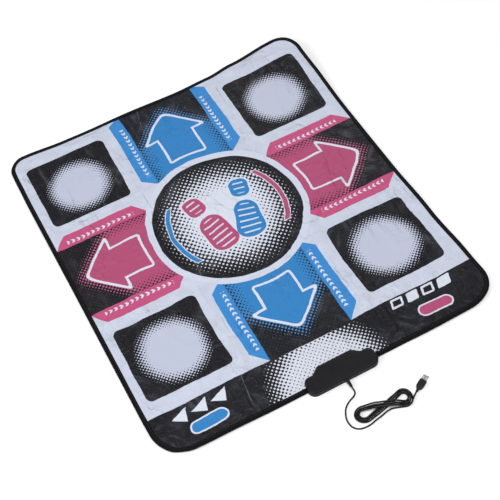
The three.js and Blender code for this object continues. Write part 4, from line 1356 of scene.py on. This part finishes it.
def add_stitches():
    shape = [(along, across, rises[k in (1, 2)]) for across, rises in STITCH_SECTION
             for k, along in enumerate(STITCH_ROW)]
    vertices = []
    faces = []
    for (x, y), (ix, iy) in outline_path(STITCH_PITCH)[2:-2]:
        first = len(vertices)
        for along, across, rise in shape:
            inset = STITCH_INSET + across * STITCH_WIDTH
            forward = (along - 0.5) * STITCH_LENGTH
            vertices.append((x + ix * inset - iy * forward, y + iy * inset + ix * forward,
                             BINDING_TOP - STITCH_SUNK + rise * STITCH_RISE))
        for k in range(3):
            for a in (first + k, first + 4 + k):
                faces.append((a, a + 1, a + 5, a + 4))
            faces.append((first + 8 + k, first + 9 + k, first + k + 1, first + k))
        faces.append((first, first + 4, first + 8))
        faces.append((first + 3, first + 11, first + 7))
    lifted = laid(*np.array(vertices).T)
    stitches = add_mesh("edge_stitches", lifted, faces, THREAD)
    declare(stitches, "binding_tape")
    return stitches


BACKING, FOAM_CORE, SPACER = add_hidden_layers()
TAPE = add_binding()
STITCHES = add_stitches()


# Control box: its outline as (half width, y, corner radius), its lid's skin as (grow, height)

BOX_NOSE_Y = 422.0
BOX_SHOULDER_Y = 435.5
BOX_OUTLINE = [
    (41.0, BOX_NOSE_Y, 3.0), (58.0, BOX_SHOULDER_Y, 3.0), (81.0, BOX_SHOULDER_Y, 13.0),
    (87.0, BOX_FACE_Y, 17.0),
]
BOX_HEIGHT = 16.0
CORNER_STEPS = 8
LID_LOW = 3.25
LID_OVER_MAT = 6.15
LID_STEP_Y = NOTCH_Y + 0.3
LID_EDGE_RISE = 0.35
LID_FILLET = 3.6
FILLET_STEPS = 6
LEAST_RADIUS = 0.05
LID_SIDE = [
    (-0.35, None), (0.0, None), (0.0, 8.0), (-0.25, 8.3), (-0.25, 8.8), (0.0, 9.1),
]
LID_TOP = [(-4.4, BOX_HEIGHT), (-5.0, BOX_HEIGHT - 0.3), (-5.8, BOX_HEIGHT - 0.3)]
LINING = [(-0.35, None), (-2.0, None), (-2.0, 12.5), (-3.5, 13.8), (-9.0, 13.8)]


def rounded_ring(corners, grow, arc_steps=CORNER_STEPS):
    """Points of a rounded outline moved out by grow, as many for every grow."""
    ring = []
    count = len(corners)
    for i, (x, y, radius) in enumerate(corners):
        here = Vector((x, y))
        before = (here - Vector(corners[i - 1][:2])).normalized()
        after = (Vector(corners[(i + 1) % count][:2]) - here).normalized()
        angle = -before.angle_signed(after)
        side = math.copysign(1, angle)
        outward = Vector((before.y + after.y, -before.x - after.x))
        middle = here + outward * (grow / (1 + before.dot(after)))
        turned = max(radius + side * grow, LEAST_RADIUS)
        start = middle - before * (turned * math.tan(abs(angle) / 2))
        centre = start + Vector((-before.y, before.x)) * side * turned
        for k in range(arc_steps + 1):
            ring.append(tuple(
                centre + Matrix.Rotation(angle * k / arc_steps, 2) @ (start - centre)))
    return ring


def loft(name, rings, material, first_cap=True):
    """A skin over rings of as many points each, closed at its last ring."""
    sides = len(rings[0])
    faces = ring_faces(len(rings), sides)
    if first_cap:
        faces.append(tuple(reversed(range(sides))))
    faces.append(tuple(range((len(rings) - 1) * sides, len(rings) * sides)))
    return add_mesh(name, [point for ring in rings for point in ring], faces, material)


def lid_edge(y, index):
    return (LID_OVER_MAT if y < LID_STEP_Y else LID_LOW) + LID_EDGE_RISE * index


def add_lid():
    corners = [(BOX_X + x, y, radius) for x, y, radius in BOX_OUTLINE]
    corners += [(BOX_X - x, y, radius) for x, y, radius in reversed(BOX_OUTLINE)]
    section = list(LID_SIDE)
    for k in range(FILLET_STEPS + 1):
        turn = math.pi / 2 * k / FILLET_STEPS
        section.append((LID_FILLET * (math.cos(turn) - 1),
                        BOX_HEIGHT - LID_FILLET * (1 - math.sin(turn))))
    rings = []
    for index, (grow, z) in enumerate(section + LID_TOP):
        flat = rounded_ring(corners, grow)
        rings.append([(x, y, lid_edge(y, index) if z is None else z) for x, y in flat])
    inner = []
    for grow, z in LINING:
        flat = reversed(rounded_ring(corners, grow))
        inner.append([(x, y, lid_edge(y, 0) if z is None else z) for x, y in flat])
    declare(loft("box_lid", rings, CASING, False), "casing", "box_top_cover")
    declare(loft("box_lid_lining", inner, CASING, False), "casing")


# Sleeve: profiles are (distance along the axis, radius), a rib's from its own start

SLEEVE_HEIGHT = 8.0
SLEEVE_SIDES = 32
SLEEVE_RIBS = 5
SLEEVE_RIB_START = 1.8
SLEEVE_RIB_PITCH = 2.9
SLEEVE_RIB_RADIUS = 4.0
SLEEVE_TAPER = 0.22
SLEEVE_FOOT = [(-1.6, 3.0), (-1.6, 4.9), (0.6, 4.9), (1.1, 4.4), (1.1, 4.0)]
SLEEVE_RIB = [(0.0, 0.0), (0.25, 0.12), (1.45, 0.08), (1.7, -0.1), (1.9, -0.75), (2.6, -0.8)]
SLEEVE_END = [(16.4, 2.95), (17.6, 2.8), (18.0, 2.45), (18.0, 1.9)]


def add_sleeve():
    profile = list(SLEEVE_FOOT)
    for k in range(SLEEVE_RIBS):
        start = SLEEVE_RIB_START + k * SLEEVE_RIB_PITCH
        radius = SLEEVE_RIB_RADIUS - k * SLEEVE_TAPER
        profile += [(start + along, radius + more) for along, more in SLEEVE_RIB]
    turns = [2 * math.pi * k / SLEEVE_SIDES for k in range(SLEEVE_SIDES)]
    rings = [[(SLEEVE_TIP[0] + radius * math.cos(t), BOX_FACE_Y + along,
               SLEEVE_HEIGHT - radius * math.sin(t)) for t in turns]
             for along, radius in profile + SLEEVE_END]
    declare(loft("lead_sleeve", rings, RUBBER), "rubber", "strain_relief")


# Plug: its body's stations are (along, half width, half height, corner radius)

PLUG_HEIGHT = 4.0
PLUG_CORNER_STEPS = 6
PLUG_TIP = [(0.3, 1.95, 1.95, 1.9), (0.5, 2.45, 2.45, 2.4)]
PLUG_RIBS = 4
PLUG_RIB_START = 0.9
PLUG_RIB_PITCH = 1.65
PLUG_RIB_RADIUS = 2.5
PLUG_FLARE = 0.28
PLUG_RIB = [(0.0, 0.0, -0.02), (0.8, 0.12, 0.1), (1.0, -0.35, -0.38), (1.4, -0.35, -0.38)]
PLUG_BODY = [
    (7.6, 3.65, 3.6, 3.55), (8.3, 4.8, 3.7, 3.4), (9.6, 6.1, 3.82, 3.0), (11.6, 7.1, 3.95, 2.6),
    (14.4, 7.7, 3.99, 2.5), (17.0, 7.8, 4.0, 2.4), (29.4, 7.75, 4.0, 2.2), (30.4, 7.5, 3.8, 1.9),
    (30.9, 6.9, 3.3, 1.5), (31.0, 6.3, 2.8, 1.2),
]
PLUG_RIDGES = 5
RIDGE_START = 17.5
RIDGE_PITCH = 2.4
RIDGE_OUT = 7.72
RIDGE_ROWS = [(-2.4, 0.2), (-1.9, 1.0), (1.9, 1.0), (2.4, 0.2)]
RIDGE_SECTION = [(-0.7, 0.0), (-0.35, 0.28), (0.35, 0.28), (0.7, 0.0)]
SHELL_CORNER_STEPS = 3
SHELL_OUTER = (6.0, 2.25, 0.5)
SHELL_INNER = (5.7, 1.95, 0.3)
SHELL_STATIONS = [31.1, 33.0, 35.4, 37.8, 43.0, 43.1]
WINDOW_STATION = 2
WINDOW = (1.9, 4.2)
CONTACT_PLACES = (-3.5, -1.0, 1.0, 3.5)
CONTACT_HALF = 0.5
CONTACT_SPAN = (35.0, 42.0)
CONTACT_HEIGHTS = (-0.27, -0.1)
BLOCK_FACES = ((0, 1, 3, 2), (4, 6, 7, 5), (0, 4, 5, 1), (2, 3, 7, 6), (0, 2, 6, 4), (1, 5, 7, 3))


def plug_point(along, across, height):
    heading = Vector((math.cos(PLUG_HEADING), math.sin(PLUG_HEADING), 0))
    side = Vector((-heading.y, heading.x, 0))
    end = Vector((*SLEEVE_TIP, PLUG_HEIGHT)) + Vector((*TAIL_ROUTE[-1][:2], height))
    return end + heading * along + side * across


def box_section(width, height, radius, steps=PLUG_CORNER_STEPS):
    """A rounded rectangle round the origin, by half its width and half its height."""
    corners = [(sx * width, sy * height, radius) for sx, sy in ((1, 1), (-1, 1), (-1, -1), (1, -1))]
    return rounded_ring(corners, 0, steps)


def add_plug_body():
    stations = list(PLUG_TIP)
    for k in range(PLUG_RIBS):
        start = PLUG_RIB_START + k * PLUG_RIB_PITCH
        radius = PLUG_RIB_RADIUS + k * PLUG_FLARE
        stations += [(start + along, radius + more, radius + more, radius + corner)
                     for along, more, corner in PLUG_RIB]
    rings = [[plug_point(along, a, h) for a, h in reversed(box_section(*size))]
             for along, *size in stations + PLUG_BODY]
    return loft("plug_body", rings, MOULDING)


def add_ridges():
    vertices, faces = [], []
    for side in (-1, 1):
        for k in range(PLUG_RIDGES):
            first = len(vertices)
            along = RIDGE_START + k * RIDGE_PITCH
            vertices += [plug_point(along + a, side * (RIDGE_OUT + out * part), z)
                         for z, part in RIDGE_ROWS for a, out in RIDGE_SECTION]
            for corner in (first + 4 * row + i for row in range(3) for i in range(3)):
                faces.append((corner, corner + 1, corner + 5, corner + 4))
    return add_mesh("plug_grips", vertices, faces, MOULDING)


def shell_section(size):
    """A section whose long sides are broken where the windows begin and end."""
    points = box_section(*size, SHELL_CORNER_STEPS)
    broken = []
    for (ax, ay), (bx, _) in zip(points, points[1:] + points[:1]):
        broken.append((ax, ay))
        if abs(bx - ax) > SHELL_OUTER[0]:
            stops = [-WINDOW[1], -WINDOW[0], *WINDOW]
            broken += [(x, ay) for x in sorted(stops, reverse=bx < ax)]
    return broken


def add_plug_shell():
    outer = shell_section(SHELL_OUTER)
    inner = shell_section(SHELL_INNER)
    sides = len(outer)
    vertices = [plug_point(along, a, h) for section in (outer, inner)
                for along in SHELL_STATIONS for a, h in section]
    kept = []
    for i in range(len(SHELL_STATIONS) - 1):
        for k in range(sides):
            n = (k + 1) % sides
            middle = abs(outer[k][0] + outer[n][0]) / 2
            if i != WINDOW_STATION or not WINDOW[0] < middle < WINDOW[1]:
                a, b = i * sides + k, i * sides + n
                kept.append((a, a + sides, b + sides, b))
    faces = closed_faces(kept, len(SHELL_STATIONS) * sides)
    return add_mesh("plug_metal", vertices, faces, STEEL, False)


def add_plug_contacts():
    vertices, faces = [], []
    for place in CONTACT_PLACES:
        faces += [tuple(len(vertices) + k for k in face) for face in BLOCK_FACES]
        vertices += [plug_point(along, place + across, z) for z in CONTACT_HEIGHTS
                     for along in CONTACT_SPAN for across in (-CONTACT_HALF, CONTACT_HALF)]
    return add_mesh("plug_contacts", vertices, faces, GOLD, False)


def add_plug():
    body, ridges, shell, contacts = (
        add_plug_body(), add_ridges(), add_plug_shell(), add_plug_contacts())
    declare(body, "plug_body", "plug_overmould")
    declare(ridges, "plug_body")
    declare(shell, "plug_steel", "plug_shell")
    declare(contacts, "plug_steel")
    return [body, ridges, shell, contacts]


add_lid()
add_sleeve()
PLUG_PIECES = add_plug()


# Looks of the lead and of the pieces carried over from the model

def dress_nodes():
    looks = {
        "box_bottom_cover": CASING, "circuit_board": BOARD, "controller_chip": EPOXY,
        "capacitor": EPOXY, "cable_header": NYLON, "plug_insert": NYLON, "pressure_strip": RUBBER,
        "crystal": STEEL, "inner_lead": JACKET,
    }
    looks.update({f"case_screw_{i}": STEEL for i in range(1, 5)})
    looks.update({f"board_screw_{i}": STEEL for i in range(1, 3)})
    for name, material in looks.items():
        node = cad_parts[name]
        if not node.material_slots:
            node.data.materials.append(material)
        for one in node.material_slots:
            one.material = material


LEAD.data.materials.append(JACKET)
dress_nodes()


# Floor and light: each light is (name, place, target, size, power)

FLOOR_SIZE = 14.0
FLOOR_COLOUR = (0.93, 0.93, 0.93)
SKY_STRENGTH = 0.36
LIGHTS = [
    ("key", (0.2, 1.4, 3.7), (0, 0.1, 0), 2.4, 109),
    ("side", (2.6, -0.4, 2.2), (0, 0, 0), 1.4, 38),
    ("back", (-1.6, -2.6, 1.6), (0, 0, 0), 0.8, 16),
]


def add_floor():
    half = FLOOR_SIZE / 2 / MM
    corners = [(-half, -half, 0), (half, -half, 0), (half, half, 0), (-half, half, 0)]
    material = new_material("pale_floor", Roughness=0.9, Base_Color=FLOOR_COLOUR)
    add_mesh("floor", corners, [(0, 1, 2, 3)], material, False)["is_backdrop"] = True


def add_light(name, place, target, size, power):
    data = bpy.data.lights.new(name, "AREA")
    data.shape = "DISK"
    data.size = size
    data.energy = power
    light = add_object(name, data)
    light.location = place
    away = Vector(place) - Vector(target)
    light.rotation_euler = away.to_track_quat("Z", "Y").to_euler()


def add_world():
    world = bpy.data.worlds.new("studio")
    world.use_nodes = True
    background = world.node_tree.nodes["Background"]
    put_all(background, {"Color": (1.0, 1.0, 1.0), "Strength": SKY_STRENGTH})
    bpy.context.scene.world = world
    bpy.context.scene.view_settings.view_transform = "Standard"


add_floor()
add_world()
for light in LIGHTS:
    add_light(*light)


# Sizes of the printed sheet, less its pad windows

PRINTED_SIZE = (MAT_WIDTH - 2 * SHEET_EDGE, MAT_LENGTH - 2 * SHEET_EDGE)
WINDOWS_AREA = sum((x1 - x0) * (y1 - y0) for x0, x1, y0, y1, _ in PADS.values())
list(PAD_PRINTS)
(PRINTED_SIZE[0] * PRINTED_SIZE[1] - WINDOWS_AREA) * MM * MM

bpy.context.view_layer.update()
for low_corner, high_corner in (CAD_BOUNDS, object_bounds()):
    f"{[list(low_corner), list(high_corner)]}\n"
